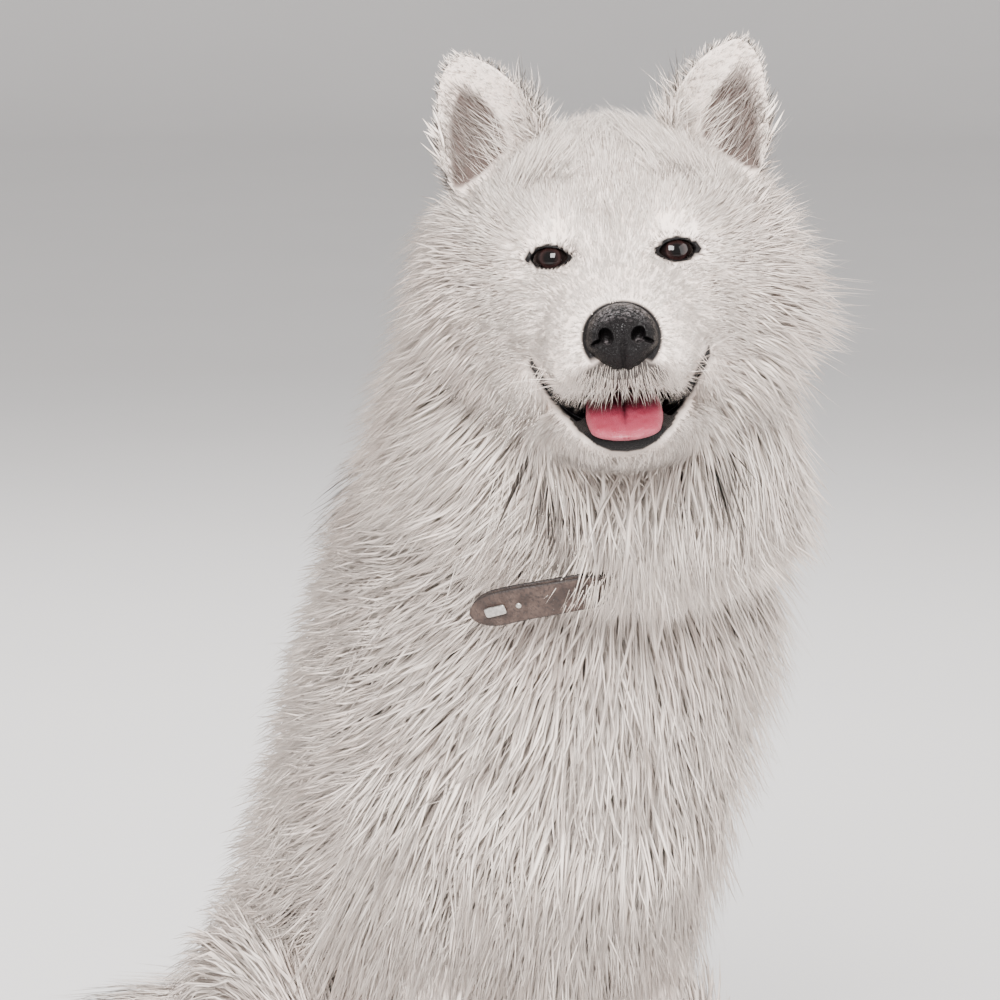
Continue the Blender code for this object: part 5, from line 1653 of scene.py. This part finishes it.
class SAMOYED_OT_face_coat(bpy.types.Operator):
    """Grow the short fur of the face, and the ruff from the cheeks, temples and crown"""

    bl_idname = "samoyed.face_coat"
    bl_label = "Face coat"

    def execute(self, context):
        coat = context.scene.samoyed_coat
        rng = np.random.default_rng(SEED + 20)

        def keep(points, normals):
            local = to_head(points)
            bare = (lid_distance(points) < 1.35) & (local[:, 0] > -0.02)
            bare |= black_lips(points) > 0.12
            nose = np.linalg.norm((local - NOSE_MIDDLE) / (0.0180, 0.0182, 0.0172), axis=1) < 1.0
            near = is_head(points) & (local[:, 0] > -0.045)
            found = np.zeros(len(points))
            here = points[near]
            mouth = np.minimum(oval_distance(here, head_tube(ROOF)), oval_distance(here, head_tube(TROUGH)))
            found[near] = mouth > 1.10
            return found * ~bare * ~nose * (0.35 + 0.85 * fade(local[:, 0], -0.04, 0.01))

        count = amount(19600)
        root, normal, area = skin_roots(count, rng, keep)
        local = to_head(root)
        lie = face_lie(local) @ HEAD
        near_eye = fade(lid_distance(root), 1.4, 3.6)
        length = (0.0050 + 0.0135 * fade(local[:, 0], 0.075, -0.02)) * (0.42 + 0.58 * near_eye)
        length = length * rng.uniform(0.75, 1.25, count)
        rise = face_depth(local) * rng.uniform(0.6, 1.25, count) + 0.0005 + length * 0.06
        wave = ripple(local[:, 0] * 110, local[:, 1] * 110 + local[:, 2] * 90, rng, 4)
        lie = lie + (0.28 * wave)[:, None] * np.cross(normal, lie)
        paths = lying_strands(root, normal, lie, length, rise, rng)
        paths = gathered(paths, rng, 0.0050, 0.07, 0.6 * coat.clumping)
        width = coat.fine * rng.uniform(0.7, 1.2, count) * (0.8 + 0.5 * fade(local[:, 0], 0.05, -0.04))
        inward = fade(np.abs(local[:, 1]), EYE_APART / 2, EYE_APART / 2 - 0.008)
        dark = fade(lid_distance(root), 1.95, 1.36) * (0.12 + 0.68 * inward)
        # Painted shade in the furrow between the brows.
        furrow = 0.10 * np.exp(-((local[:, 1] / 0.013) ** 2) - ((local[:, 2] - 0.020) / 0.016) ** 2)
        # Painted shade in the fold at each corner of the mouth.
        corner = (local[:, 0] - 0.018) ** 2 + (np.abs(local[:, 1]) - 0.048) ** 2 + (local[:, 2] + 0.050) ** 2
        over, under = lip_heights(local)
        # Painted shade in the fold along the black lips, wider towards their corners.
        wide = 0.0030 + 0.0030 * fade(np.abs(local[:, 1]), 0.026, 0.036)
        edge = 0.55 * fade(np.minimum(np.abs(over), np.abs(under)), wide, 0.0005) * (local[:, 0] > 0.0)
        edge = edge * (np.abs(local[:, 1]) < 0.047)
        # Painted shade on the chin, just below the lower lip.
        jaw = 0.55 * fade(under, -0.001, 0.004) * fade(np.abs(local[:, 1]), 0.045, 0.028) * (local[:, 0] > 0.0)
        dark = np.maximum.reduce([dark, furrow, jaw, 0.30 * np.exp(-corner / 0.011**2), edge, 0.8 * under_nose(local)])
        between = [paths[:, 0] * (1 - t) + paths[:, 1] * t for t in (0.5, 1.0)]
        between += [paths[:, 1] * (1 - t) + paths[:, 2] * t for t in (0.35, 0.7, 1.0)]
        clear = clear_of_ears(paths) & (np.maximum.reduce([black_lips(x) for x in between]) < 0.15)
        clear = clear & (np.minimum(lid_distance(paths[:, 1]), lid_distance(paths[:, 2])) > 1.20)
        beneath = np.maximum.reduce([under_nose(to_head(x)) for x in (paths[:, 0], paths[:, 1], paths[:, 2])])
        clear = clear & (rng.random(count) > 0.96 * beneath)
        paths, normal, width, root, dark = (x[clear] for x in (paths, normal, width, root, dark))
        coat_piece("coat_face", paths, normal, width, around_head(root), rng, dark, 0.45)
        self.long_fur("undercoat_mane", 3500, coat.tuft, 2, (0.05, 0.42), SEED + 21, coat)
        self.long_fur("locks_mane", 8800, coat.lock * 0.68, 3, (0.10, 0.60), SEED + 23, coat)
        self.long_fur("coat_mane", 4700, coat.strand, 2, (0.20, 0.74), SEED + 22, coat)
        return {"FINISHED"}

    def long_fur(self, name, count, width, rings, lift, seed, coat):
        """Fur that grows longer and stands further out from the edge of the face to the ruff."""
        rng = np.random.default_rng(seed)

        def keep(points, normals):
            local = to_head(points)
            throat = fade(local[:, 2], -0.098, -0.088) + fade(local[:, 0], 0.0, -0.03)
            return is_head(points, 0.16) * fade(mane(local), 0.03, 0.45) * np.minimum(throat, 1) * (
                inner_ear(points) < 0.3
            )

        root, normal, area = skin_roots(amount(count), rng, keep)
        count = len(root)
        local = to_head(root)
        share = mane(local)
        crown = fade(local[:, 2], 0.008, 0.042)
        longest = 0.060 * (1 - crown) + (0.014 + 0.10 * np.minimum(np.abs(local[:, 1]), 0.05)) * crown
        length = (0.012 + (longest - 0.012) * share) * rng.uniform(0.72, 1.12, count)
        lie = face_lie(local) @ HEAD
        wave = ripple(local[:, 0] * 60, local[:, 1] * 55 + local[:, 2] * 60, rng, 4)
        lie = lie + (0.34 * wave * (1 - 0.6 * crown))[:, None] * np.cross(normal, lie)
        low, high = lift
        stand = (low + (high - low) * rng.random(count) ** 0.75) * (0.18 + 0.82 * share) * (1 - 0.45 * crown)
        stand = stand * (1 + 0.18 * ripple(local[:, 0] * 90, local[:, 1] * 90 + local[:, 2] * 90, rng, 3))
        left = fade(local[:, 1], 0.020, 0.060) * fade(local[:, 2], 0.005, -0.035)
        temple = np.exp(-(((local[:, 2] - 0.030) / 0.018) ** 2)) * fade(np.abs(local[:, 1]), 0.055, 0.075)
        rise = face_depth(local) * 0.8 + length * stand + (0.021 * left + 0.008 * temple) * share
        paths = lying_strands(root, normal, lie, length, rise, rng, rings, droop=length * 0.20 * (1 - crown), bend=0.9)
        draw = coat.clumping * (0.2 if name.startswith("under") else 1.0)
        paths = gathered(paths, rng, 0.016, 0.09, 0.50 * draw)
        paths = gathered(paths, rng, 0.0070, 0.09, 0.85 * draw)
        thick = width * rng.uniform(0.6, 1.15, count) * (0.30 + 0.70 * share) * (1 - 0.50 * crown)
        lips = np.maximum.reduce([black_lips(paths[:, i]) for i in range(rings + 1)])
        clear = clear_of_ears(paths) & (lips < 0.15)
        # Painted shade under the chin.
        chin = np.linalg.norm((local - (0.040, 0.0, -0.112)) / (0.045, 0.040, 0.022), axis=1)
        dark = 0.30 * fade(chin, 1.3, 0.5)
        coat_piece(name, paths[clear], normal[clear], thick[clear], around_head(root[clear]), rng, dark[clear])


class SAMOYED_OT_ear_coat(bpy.types.Operator):
    """Grow the white fur on the backs and rims of the ears, and the dark hair inside them"""

    bl_idname = "samoyed.ear_coat"
    bl_label = "Ear coat"

    def execute(self, context):
        coat = context.scene.samoyed_coat
        rng = np.random.default_rng(SEED + 30)

        def keep(points, normals):
            local = to_head(points)
            near = np.abs(np.abs(local[:, 1]) - 0.066) < 0.042
            return near * (local[:, 2] > 0.036) * (local[:, 2] < 0.130) * (np.abs(local[:, 0] + 0.045) < 0.045)

        count = amount(7700)
        root, normal, area = skin_roots(count, rng, keep)
        local = to_head(root)
        side = np.sign(local[:, 1])
        inner = inner_ear(root)
        u, v, behind = (np.where(side > 0, a, b) for a, b in zip(ear_place(root, 1), ear_place(root, -1)))
        front = (behind < 0.0) & (np.abs(u) < 0.92)
        zero = np.zeros(count)
        lie = np.stack([zero + 0.05, side * 0.30 * u, zero + 1.0], axis=1)
        fan = np.stack([zero + 0.30, 0.62 * side, zero + 0.85], axis=1)
        lie = np.where(front[:, None], fan, lie)
        lie = lie + rng.normal(0, 0.10, (count, 3)) + np.stack([zero, -0.75 * side * fade(u, -0.55, -0.95), zero], axis=1)
        length = np.where(front, 0.0060 + 0.0085 * inner, 0.0100 - 0.004 * v)
        length = length + 0.008 * fade(u, -0.6, -0.95) * fade(v, 0.80, 0.35)
        length = length * rng.uniform(0.7, 1.25, count)
        rise = np.where(front, 0.0018 + 0.0014 * inner, 0.0018) * rng.uniform(0.5, 1.5, count)
        rise = rise + 0.003 * fade(v, 0.35, 0.0) + 0.003 * fade(u, -0.6, -0.95) * fade(v, 0.9, 0.5)
        rise = rise + (0.0018 + 0.0014 * fade(v, 0.55, 0.10)) * fade(np.abs(u), 0.70, 1.0)
        paths = lying_strands(root, normal, lie @ HEAD, length, rise, rng)
        paths = gathered(paths, rng, 0.0055, 0.05, 0.6 * coat.clumping)
        width = coat.fine * rng.uniform(0.75, 1.25, count) * (1 - 0.25 * inner)
        keep_it = (inner > 0.3) | clear_of_ears(paths)
        dark = inner * rng.uniform(0.72, 1.0, count)
        paths, normal, width, root, dark = (x[keep_it] for x in (paths, normal, width, root, dark))
        coat_piece("coat_ears", paths, unit(normal + 0.7 * HEAD[2]), width, around_head(root), rng, dark, 0.15)
        self.wisps(coat)
        self.inner_bases(coat)
        return {"FINISHED"}

    def wisps(self, coat):
        """Long pale wisps from each ear's inner edge and base, laid across the hollow."""
        rng = np.random.default_rng(SEED + 31)
        parts = []
        for side in (1, -1):
            count = amount(95)
            base, tip, across, back = ear_frame(side)
            v = rng.uniform(0.02, 0.50, count)
            u = -rng.uniform(0.35, 0.90, count)
            foot = base + (tip - base) * v[:, None] + across * (u * ear_half(np.clip(v, 0, 1)))[:, None]
            foot = foot - back * 0.0015
            lie = np.tile(across * 0.70 + np.array([0.0, 0.0, 0.70]) - back * 0.30, (count, 1))
            lie = lie + rng.normal(0, 0.20, (count, 3))
            length = rng.uniform(0.014, 0.030, count) * (1 - 0.45 * v)
            parts.append((foot, np.tile(-back, (count, 1)), lie, length))
        foot, normal, lie, length = (np.concatenate(p) for p in zip(*parts))
        root, normal, lie = from_head(foot), normal @ HEAD, lie @ HEAD
        paths = lying_strands(root, normal, lie, length, 0.005 * rng.uniform(0.4, 1.6, len(root)), rng, 3)
        paths = gathered(paths, rng, 0.006, 0.006, 0.8 * coat.clumping)
        width = coat.fine * rng.uniform(0.45, 0.80, len(root))
        dark = rng.uniform(0.0, 0.35, len(root))
        coat_piece("ear_wisps", paths, normal, width, around_head(root), rng, dark)

    def inner_bases(self, coat):
        """Soft fur that fills the corner between each ear and the crown."""
        rng = np.random.default_rng(SEED + 32)

        def keep(points, normals):
            local = to_head(points)
            found = np.zeros(len(points))
            for side in (1, -1):
                u, v, behind = ear_place(points, side)
                edge = fade(u, -0.60, -0.90) * (u > -1.9) * fade(v, -0.12, 0.0) * fade(v, 0.80, 0.55)
                near = (side * local[:, 1] > 0.012) & (np.abs(local[:, 0] + 0.048) < 0.040)
                found = np.maximum(found, edge * near)
            return found

        count = amount(1700)
        root, normal, area = skin_roots(count, rng, keep)
        local = to_head(root)
        side = np.sign(local[:, 1])
        zero = np.zeros(count)
        lie = np.stack([zero + 0.10, -0.55 * side, zero + 0.95], axis=1) + rng.normal(0, 0.22, (count, 3))
        length = rng.uniform(0.014, 0.027, count)
        paths = lying_strands(root, normal, lie @ HEAD, length, length * rng.uniform(0.15, 0.55, count), rng, 3)
        paths = gathered(paths, rng, 0.0060, 0.012, 0.8 * coat.clumping)
        width = coat.strand * rng.uniform(0.5, 0.95, count)
        clear = clear_of_ears(paths)
        coat_piece("ear_bases", paths[clear], normal[clear], width[clear], around_head(root[clear]), rng)


class SAMOYED_OT_foot_coat(bpy.types.Operator):
    """Grow the short fur of all four feet"""

    bl_idname = "samoyed.foot_coat"
    bl_label = "Foot coat"

    def execute(self, context):
        coat = context.scene.samoyed_coat
        rng = np.random.default_rng(SEED + 40)

        def keep(points, normals):
            local = points - SHIFT
            paws = (local[:, 1] < 0.012) & (local[:, 2] < 0.062) & (np.abs(local[:, 0]) < 0.19)
            hocks = (np.abs(local[:, 0]) > 0.085) & (local[:, 2] < 0.075) & (local[:, 1] < 0.235)
            return (paws | hocks) * (normals[:, 2] > -0.6)

        count = amount(5100)
        root, normal, area = skin_roots(count, rng, keep)
        local = root - SHIFT
        hock = fade(local[:, 1], 0.02, 0.07)
        length = (0.011 + 0.010 * hock) * rng.uniform(0.7, 1.3, count)
        toward = np.tile(np.array([0.0, -1.0, -0.45]), (count, 1))
        rise = (0.0030 + 0.0045 * hock) * rng.uniform(0.4, 1.3, count)
        paths = lying_strands(root, normal, toward, length, rise, rng)
        paths = gathered(paths, rng, 0.006, 0.05, 0.6 * coat.clumping)
        width = coat.fine * rng.uniform(0.9, 1.4, count)
        uv = np.stack([(local[:, 0] + 0.2) / 0.4, (local[:, 1] + 0.16) / 0.42], axis=1)
        coat_piece("coat_feet", paths, normal, width, np.clip(uv, 0, 0.99), rng)
        return {"FINISHED"}


class SAMOYED_OT_whiskers(bpy.types.Operator):
    """Make the whiskers, the fringe over the mouth, the lashes and the hairs of lips and chin"""

    bl_idname = "samoyed.whiskers"
    bl_label = "Whiskers and fringe"

    def execute(self, context):
        face = context.scene.samoyed_face
        thin = face.whisker_width

        def whiskers(local):
            place = (local[:, 0] > 0.040) & (local[:, 0] < 0.066) & (local[:, 2] < -0.044)
            return place & (local[:, 2] > -0.068) & (np.abs(local[:, 1]) > 0.017)

        def fringe(local):
            over, _ = lip_heights(local)
            return (over > -0.0004) & (over < 0.0160) & (local[:, 0] > 0.046) & (np.abs(local[:, 1]) < 0.029)

        def lip_hair(local):
            over, _ = lip_heights(local)
            wide = (np.abs(local[:, 1]) > 0.022) & (np.abs(local[:, 1]) < 0.040)
            return (over > 0.0) & (over < 0.004) & (local[:, 0] > 0.012) & wide

        def chin(local):
            _, under = lip_heights(local)
            return (under > 0.0005) & (under < 0.012) & (local[:, 0] > 0.035) & (np.abs(local[:, 1]) < 0.030)

        # The chin hair's dark is painted shade on the chin.
        sets = (
            ("whiskers", 34, whiskers, (0.30, 1.15, -0.40), (0.45, 1.0), 1.2, 0.55, 0.0, 0.24),
            ("fringe", 700, fringe, (0.30, 0.80, -1.0), (0.15, 0.28), 0.66, 0.34, 0.46, 0.40),
            ("lip_hair", 60, lip_hair, (0.10, 0.95, -0.45), (0.08, 0.15), 0.7, 0.25, 0.45, 0.25),
            ("chin_hair", 800, chin, (0.15, 0.35, -1.0), (0.10, 0.26), 0.85, 0.28, 0.45, 0.30),
        )
        for i, (name, count, where, lie, reach, width, stand, dark, droop) in enumerate(sets):
            rng = np.random.default_rng(SEED + 50 + i)
            root, normal, area = skin_roots(count, rng, lambda points, normals: near_mouth(points, where))
            local = to_head(root)
            way = np.tile(lie, (count, 1)) * np.stack([np.ones(count), local[:, 1] / 0.022, np.ones(count)], axis=1)
            way = way + rng.normal(0, 0.14, (count, 3))
            length = face.whisker * rng.uniform(*reach, count)
            paths = lying_strands(
                root, normal, way @ HEAD, length, length * stand, rng, 4, droop=length * droop, bend=0.95
            )
            shade = np.full(count, dark) * rng.uniform(0.8, 1.0, count)
            coat_piece(name, paths, normal, np.full(count, thin * width), around_head(root), rng, shade, 0.50)
        self.lashes(face)
        return {"FINISHED"}

    def lashes(self, face):
        """Short dark hairs round the black rims, that soften their edge."""
        rng = np.random.default_rng(SEED + 60)

        def keep(points, normals):
            apart = lid_distance(points)
            return (apart > 1.22) & (apart < 1.62) & (to_head(points)[:, 0] > -0.004)

        count = 620
        root, normal, area = skin_roots(count, rng, keep)
        side = np.sign(to_head(root)[:, 1])
        centre = np.where(side[:, None] > 0, eye_centre(1), eye_centre(-1))
        lie = unit(root - centre) + HEAD[2] * 0.35 + rng.normal(0, 0.12, (count, 3))
        length = rng.uniform(0.0028, 0.0055, count)
        paths = lying_strands(root, normal, lie, length, length * 0.28, rng, 2, sink=0.0005)
        shade = rng.uniform(0.7, 1.0, count)
        coat_piece("lashes", paths, normal, np.full(count, face.whisker_width), around_head(root), rng, shade, 0.25)


def near_mouth(points, where):
    """Where the skin is near the mouth, outside it, and a test in the head's axes holds."""
    local = to_head(points)
    found = np.zeros(len(points))
    near = np.linalg.norm(local - (0.035, 0, -0.075), axis=1) < 0.075
    here = points[near]
    mouth = np.minimum(oval_distance(here, head_tube(ROOF)), oval_distance(here, head_tube(TROUGH)))
    found[near] = (mouth > 1.05) & where(local[near])
    return found


def claw_rings(side, paw, reach, size, place):
    """A claw: a small cone from the toe's end that curves down to its point."""
    x = side * (paw[0] + place * size * 1.4)
    root = paw[1] - reach - (0.0 if abs(place) > 1 else 0.011) - size * 1.15
    rows = (
        (x, root, size * 0.98, 0.0026, 0.0034, 0),
        (x, root - size * 0.30, size * 0.95, 0.0024, 0.0031, 0),
        (x, root - size * 0.62, size * 0.70, 0.0016, 0.0021, 0),
        (x, root - size * 0.86, size * 0.36, 0.0007, 0.0009, 0),
    )
    return Tube(rows).grid(14, 14, 0.0, 0.001, 0.002)


class SAMOYED_OT_claws(bpy.types.Operator):
    """Make the sixteen claws, one piece for each foot"""

    bl_idname = "samoyed.claws"
    bl_label = "Claws"

    def execute(self, context):
        feet = (("fore", FORE_PAW, 0.026, FORE_TOE), ("hind", HIND_PAW, 0.018, HIND_TOE))
        for side, word in ((1, "left"), (-1, "right")):
            for kind, paw, reach, size in feet:
                rings = [claw_rings(side, paw, reach, size, place) for place in (-1.5, -0.5, 0.5, 1.5)]
                claws = body_object(f"claws_{kind}_{word}", rings)
                link(claws, claw_material())
        return {"FINISHED"}


# Collar


def strap_line(places):
    """Points along the free end's middle, with its run, width and outward directions."""
    trunk = Tube(TRUNK)
    knots = np.linspace(0, 1, len(STRAP_PATH))

    def at(t):
        s, angle, lift = smooth(knots, np.array(STRAP_PATH), np.asarray(t, float)).T
        coat = trunk.coat(s)
        foot = trunk.point(s, angle, coat)
        out = unit(trunk.point(s, angle, coat + 0.01) - foot)
        return foot + out * lift[:, None], out

    places = np.asarray(places, float)
    points, out = at(places)
    run = unit(at(places + 0.01)[0] - at(places - 0.01)[0])
    out = unit(out - run * (out * run).sum(axis=1, keepdims=True))
    return points, run, np.cross(out, run), out


def strap_layer(name, lift, thick, narrow, tip):
    """A bent strip with rounded edges and a round tip: at each place along it, a rounded oblong
    cross-section, |a|^p + |b|^p = 1 with p of 6 across and 2.6 through."""
    t = np.concatenate([np.linspace(0.03, 0.86, 60), 0.86 + (tip - 0.86) * np.sin(np.linspace(0.05, 1.55, 22))])
    points, run, across, out = strap_line(t)
    half = (STRAP_WIDTH / 2 - narrow) * np.sqrt(1 - np.clip((t - 0.86) / (tip - 0.86), 0, 0.997) ** 2)
    turn = np.arange(40) * 2 * math.pi / 40
    a = np.sign(np.cos(turn)) * np.abs(np.cos(turn)) ** 0.34
    b = np.sign(np.sin(turn)) * np.abs(np.sin(turn)) ** 0.45
    wide = across[:, None] * (half[:, None] * a)[..., None]
    high = out[:, None] * (lift + thick / 2 * (1 + b))[None, :, None]
    strap = body_object(name, [points[:, None] + wide + high])
    edge = np.concatenate([np.tile(fade(np.abs(a), 0.90, 0.985), len(t)), [0.6, 1.0]])
    set_attribute(strap.data, "edge", np.maximum(edge, np.concatenate([np.repeat(fade(t, tip - 0.006, tip), 40), [0, 1]])))
    link(strap, leather_material())
    return strap


def plate_rings():
    """The small bare plate, with bevelled edges, flat on the outer layer near its tip."""
    points, run, across, out = (x[0] for x in strap_line([0.880]))
    lift = 2 * STRAP_THICK + 4 * GAP
    turn = np.arange(48) * 2 * math.pi / 48
    a = np.sign(np.cos(turn)) * np.abs(np.cos(turn)) ** 0.28
    b = np.sign(np.sin(turn)) * np.abs(np.sin(turn)) ** 0.28
    rings = []
    for height, size in ((0.0, 1.0), (0.0005, 1.0), (0.0008, 0.965), (0.0009, 0.92)):
        flat = np.outer(a * 0.0061 * size, run) + np.outer(b * (0.0028 - 0.0061 * (1 - size)), across)
        rings.append(points + out * (lift + height) + flat)
    return np.array(rings)


class SAMOYED_OT_collar(bpy.types.Operator):
    """Make the leather band, its free end of two layers, the bare plate and a rivet"""

    bl_idname = "samoyed.collar"
    bl_label = "Collar"

    def execute(self, context):
        collar = context.scene.samoyed_collar
        trunk = Tube(TRUNK)
        angles = np.arange(160) * 2.25
        turn = np.arange(20) * 2 * math.pi / 20
        core = 0.45 * trunk.coat(COLLAR_AT)
        across = np.sign(np.cos(turn)) * np.abs(np.cos(turn)) ** 0.4 * STRAP_WIDTH / 2 / trunk.length
        through = core + 0.0006 + 0.002 * (1 + np.sign(np.sin(turn)) * np.abs(np.sin(turn)) ** 0.6)
        rings = trunk.point(COLLAR_AT + across[None], angles[:, None], through[None])
        band = ring_object("band", rings)
        set_attribute(band.data, "edge", np.tile(fade(np.abs(np.cos(turn)), 0.85, 1.0), 160))
        link(band, leather_material())
        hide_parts("collar_band")
        inner = strap_layer("strap_inner", 0.0, STRAP_THICK, 0.0, 0.992)
        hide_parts("collar_strap_inner")
        outer = strap_layer("strap_outer", STRAP_THICK + 2 * GAP, STRAP_THICK, 0.0003, 0.991)
        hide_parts("collar_strap_outer")
        plate = body_object("strap_plate", [plate_rings()])
        link(plate, metal_material())
        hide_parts("collar_plate")
        points, run, across, out = (x[0] for x in strap_line([0.785]))
        middle = points + out * (2 * STRAP_THICK + 3 * GAP)
        rivet = body_object("rivet", [ellipsoid(middle, (collar.rivet, collar.rivet, 0.0008), np.array([run, across, out]))])
        link(rivet, metal_material())
        return {"FINISHED"}


def ring_object(name, rings):
    """A closed hoop from cross-sections that follow one another all the way round."""
    count, around = rings.shape[:2]
    i, j = np.meshgrid(np.arange(count), np.arange(around), indexing="ij")
    a, b = i * around + j, (i + 1) % count * around + j
    c, d = (i + 1) % count * around + (j + 1) % around, i * around + (j + 1) % around
    faces = np.stack([a, b, c, a, c, d], axis=-1).reshape(-1, 3)
    points = rings.reshape(-1, 3)
    corners = points[faces] - points.mean(axis=0)
    if np.einsum("ij,ij->i", corners[:, 0], np.cross(corners[:, 1], corners[:, 2])).sum() < 0:
        faces = faces[:, ::-1]
    obj = bpy.data.objects.new(name, triangle_mesh(name, points, faces))
    bpy.context.scene.collection.objects.link(obj)
    return obj


# Studio


class SAMOYED_OT_stage(bpy.types.Operator):
    """Set the pale floor that curves up into a backdrop, the soft lights and the camera"""

    bl_idname = "samoyed.stage"
    bl_label = "Studio"

    def execute(self, context):
        studio = context.scene.samoyed_studio
        made, shader = shader_of("studio_floor", 0.85, Specular_IOR_Level=0.2)
        tree = made.node_tree
        tint = mix_of(tree, grain(tree, 3.0, 2.0), studio.floor, tuple(np.array(studio.floor) * 0.985))
        tree.links.new(tint, shader.inputs["Base Color"])
        azimuth = math.radians(studio.azimuth)
        back = np.array([-math.sin(azimuth), math.cos(azimuth), 0.0])
        side = np.array([math.cos(azimuth), math.sin(azimuth), 0.0])
        turn = np.linspace(0, math.pi / 2, 24)
        run = np.concatenate([[-9.0, 0.0, 4.0], 7.0 + 2.0 * np.sin(turn), [9.0]])
        rise = np.concatenate([[0.0, 0.0, 0.0], 2.0 * (1 - np.cos(turn)), [7.0]])
        wide = np.linspace(-10, 10, 9)
        grid = (run[:, None, None] * back) + (wide[None, :, None] * side) + rise[:, None, None] * np.array([0, 0, 1.0])
        i, j = np.meshgrid(np.arange(len(run) - 1), np.arange(8), indexing="ij")
        a = i * 9 + j
        faces = np.stack([a, a + 1, a + 10, a, a + 10, a + 9], axis=-1).reshape(-1, 3)
        floor = bpy.data.objects.new("floor", triangle_mesh("floor", grid, faces))
        context.scene.collection.objects.link(floor)
        floor.data.materials.append(made)
        self.light(context, "key", studio.key, 1.5, (-1.45, -2.45, 2.35))
        self.light(context, "fill", studio.fill, 2.4, (2.0, -1.8, 1.3))
        self.light(context, "rim", studio.fill * 0.9, 1.6, (0.6, 1.7, 2.1))
        world = bpy.data.worlds.new("studio")
        context.scene.world = world
        world.use_nodes = True
        world.node_tree.nodes["Background"].inputs["Color"].default_value = (1.0, 0.985, 0.98, 1.0)
        world.node_tree.nodes["Background"].inputs["Strength"].default_value = 0.92
        self.camera(context, studio)
        return {"FINISHED"}

    def light(self, context, name, power, size, place):
        data = bpy.data.lights.new(name, "AREA")
        data.energy = power
        data.size = size
        data.color = (1.0, 0.985, 0.97)
        lamp = bpy.data.objects.new(name, data)
        target = Vector((0, 0, 0.45))
        lamp.location = place
        lamp.rotation_euler = (target - lamp.location).to_track_quat("-Z", "Y").to_euler()
        context.scene.collection.objects.link(lamp)

    def camera(self, context, studio):
        """The camera looks at a point below the eyes from the given side, height and distance."""
        data = bpy.data.cameras.new("camera")
        data.sensor_width = 36.0
        data.lens = studio.lens
        data.clip_end = 50
        camera = bpy.data.objects.new("camera", data)
        azimuth, lift = math.radians(studio.azimuth), math.radians(studio.elevation)
        back = Vector((math.sin(azimuth) * math.cos(lift), -math.cos(azimuth) * math.cos(lift), math.sin(lift)))
        middle = (eye_centre(1) + eye_centre(-1)) / 2
        target = Vector(middle + np.array((-0.0593, 0.0097, -0.1248)))
        camera.location = target + back * studio.distance
        camera.rotation_euler = (-back).to_track_quat("-Z", "Y").to_euler()
        context.scene.collection.objects.link(camera)
        context.scene.camera = camera


class SAMOYED_PT_panel(bpy.types.Panel):
    """Sizes, colours and the button for each group of pieces"""

    bl_idname = "SAMOYED_PT_panel"
    bl_label = "Sitting samoyed"
    bl_space_type = "VIEW_3D"
    bl_region_type = "UI"
    bl_category = "Samoyed"

    def draw(self, context):
        for settings in (
            context.scene.samoyed_coat,
            context.scene.samoyed_face,
            context.scene.samoyed_collar,
            context.scene.samoyed_studio,
        ):
            box = self.layout.box()
            for name in settings.__annotations__:
                box.prop(settings, name)
        for operator in OPERATORS:
            self.layout.operator(operator.bl_idname)


OPERATORS = (
    SAMOYED_OT_skin,
    SAMOYED_OT_eyes,
    SAMOYED_OT_nose,
    SAMOYED_OT_tongue,
    SAMOYED_OT_body_coat,
    SAMOYED_OT_ruff,
    SAMOYED_OT_tail_coat,
    SAMOYED_OT_haunch_coat,
    SAMOYED_OT_foreleg_coat,
    SAMOYED_OT_face_coat,
    SAMOYED_OT_ear_coat,
    SAMOYED_OT_foot_coat,
    SAMOYED_OT_whiskers,
    SAMOYED_OT_claws,
    SAMOYED_OT_collar,
    SAMOYED_OT_stage,
)
CLASSES = (SamoyedCoat, SamoyedFace, SamoyedCollar, SamoyedStudio, *OPERATORS, SAMOYED_PT_panel)
SETTINGS = {
    "samoyed_coat": SamoyedCoat,
    "samoyed_face": SamoyedFace,
    "samoyed_collar": SamoyedCollar,
    "samoyed_studio": SamoyedStudio,
}


def register():
    for made in CLASSES:
        bpy.utils.register_class(made)
    for name, group in SETTINGS.items():
        setattr(bpy.types.Scene, name, PointerProperty(type=group))


def unregister():
    for name in SETTINGS:
        delattr(bpy.types.Scene, name)
    for made in reversed(CLASSES):
        bpy.utils.unregister_class(made)


def main():
    register()
    for operator in OPERATORS:
        group, name = operator.bl_idname.split(".")
        getattr(getattr(bpy.ops, group), name)()


if __name__ == "__main__":
    main()
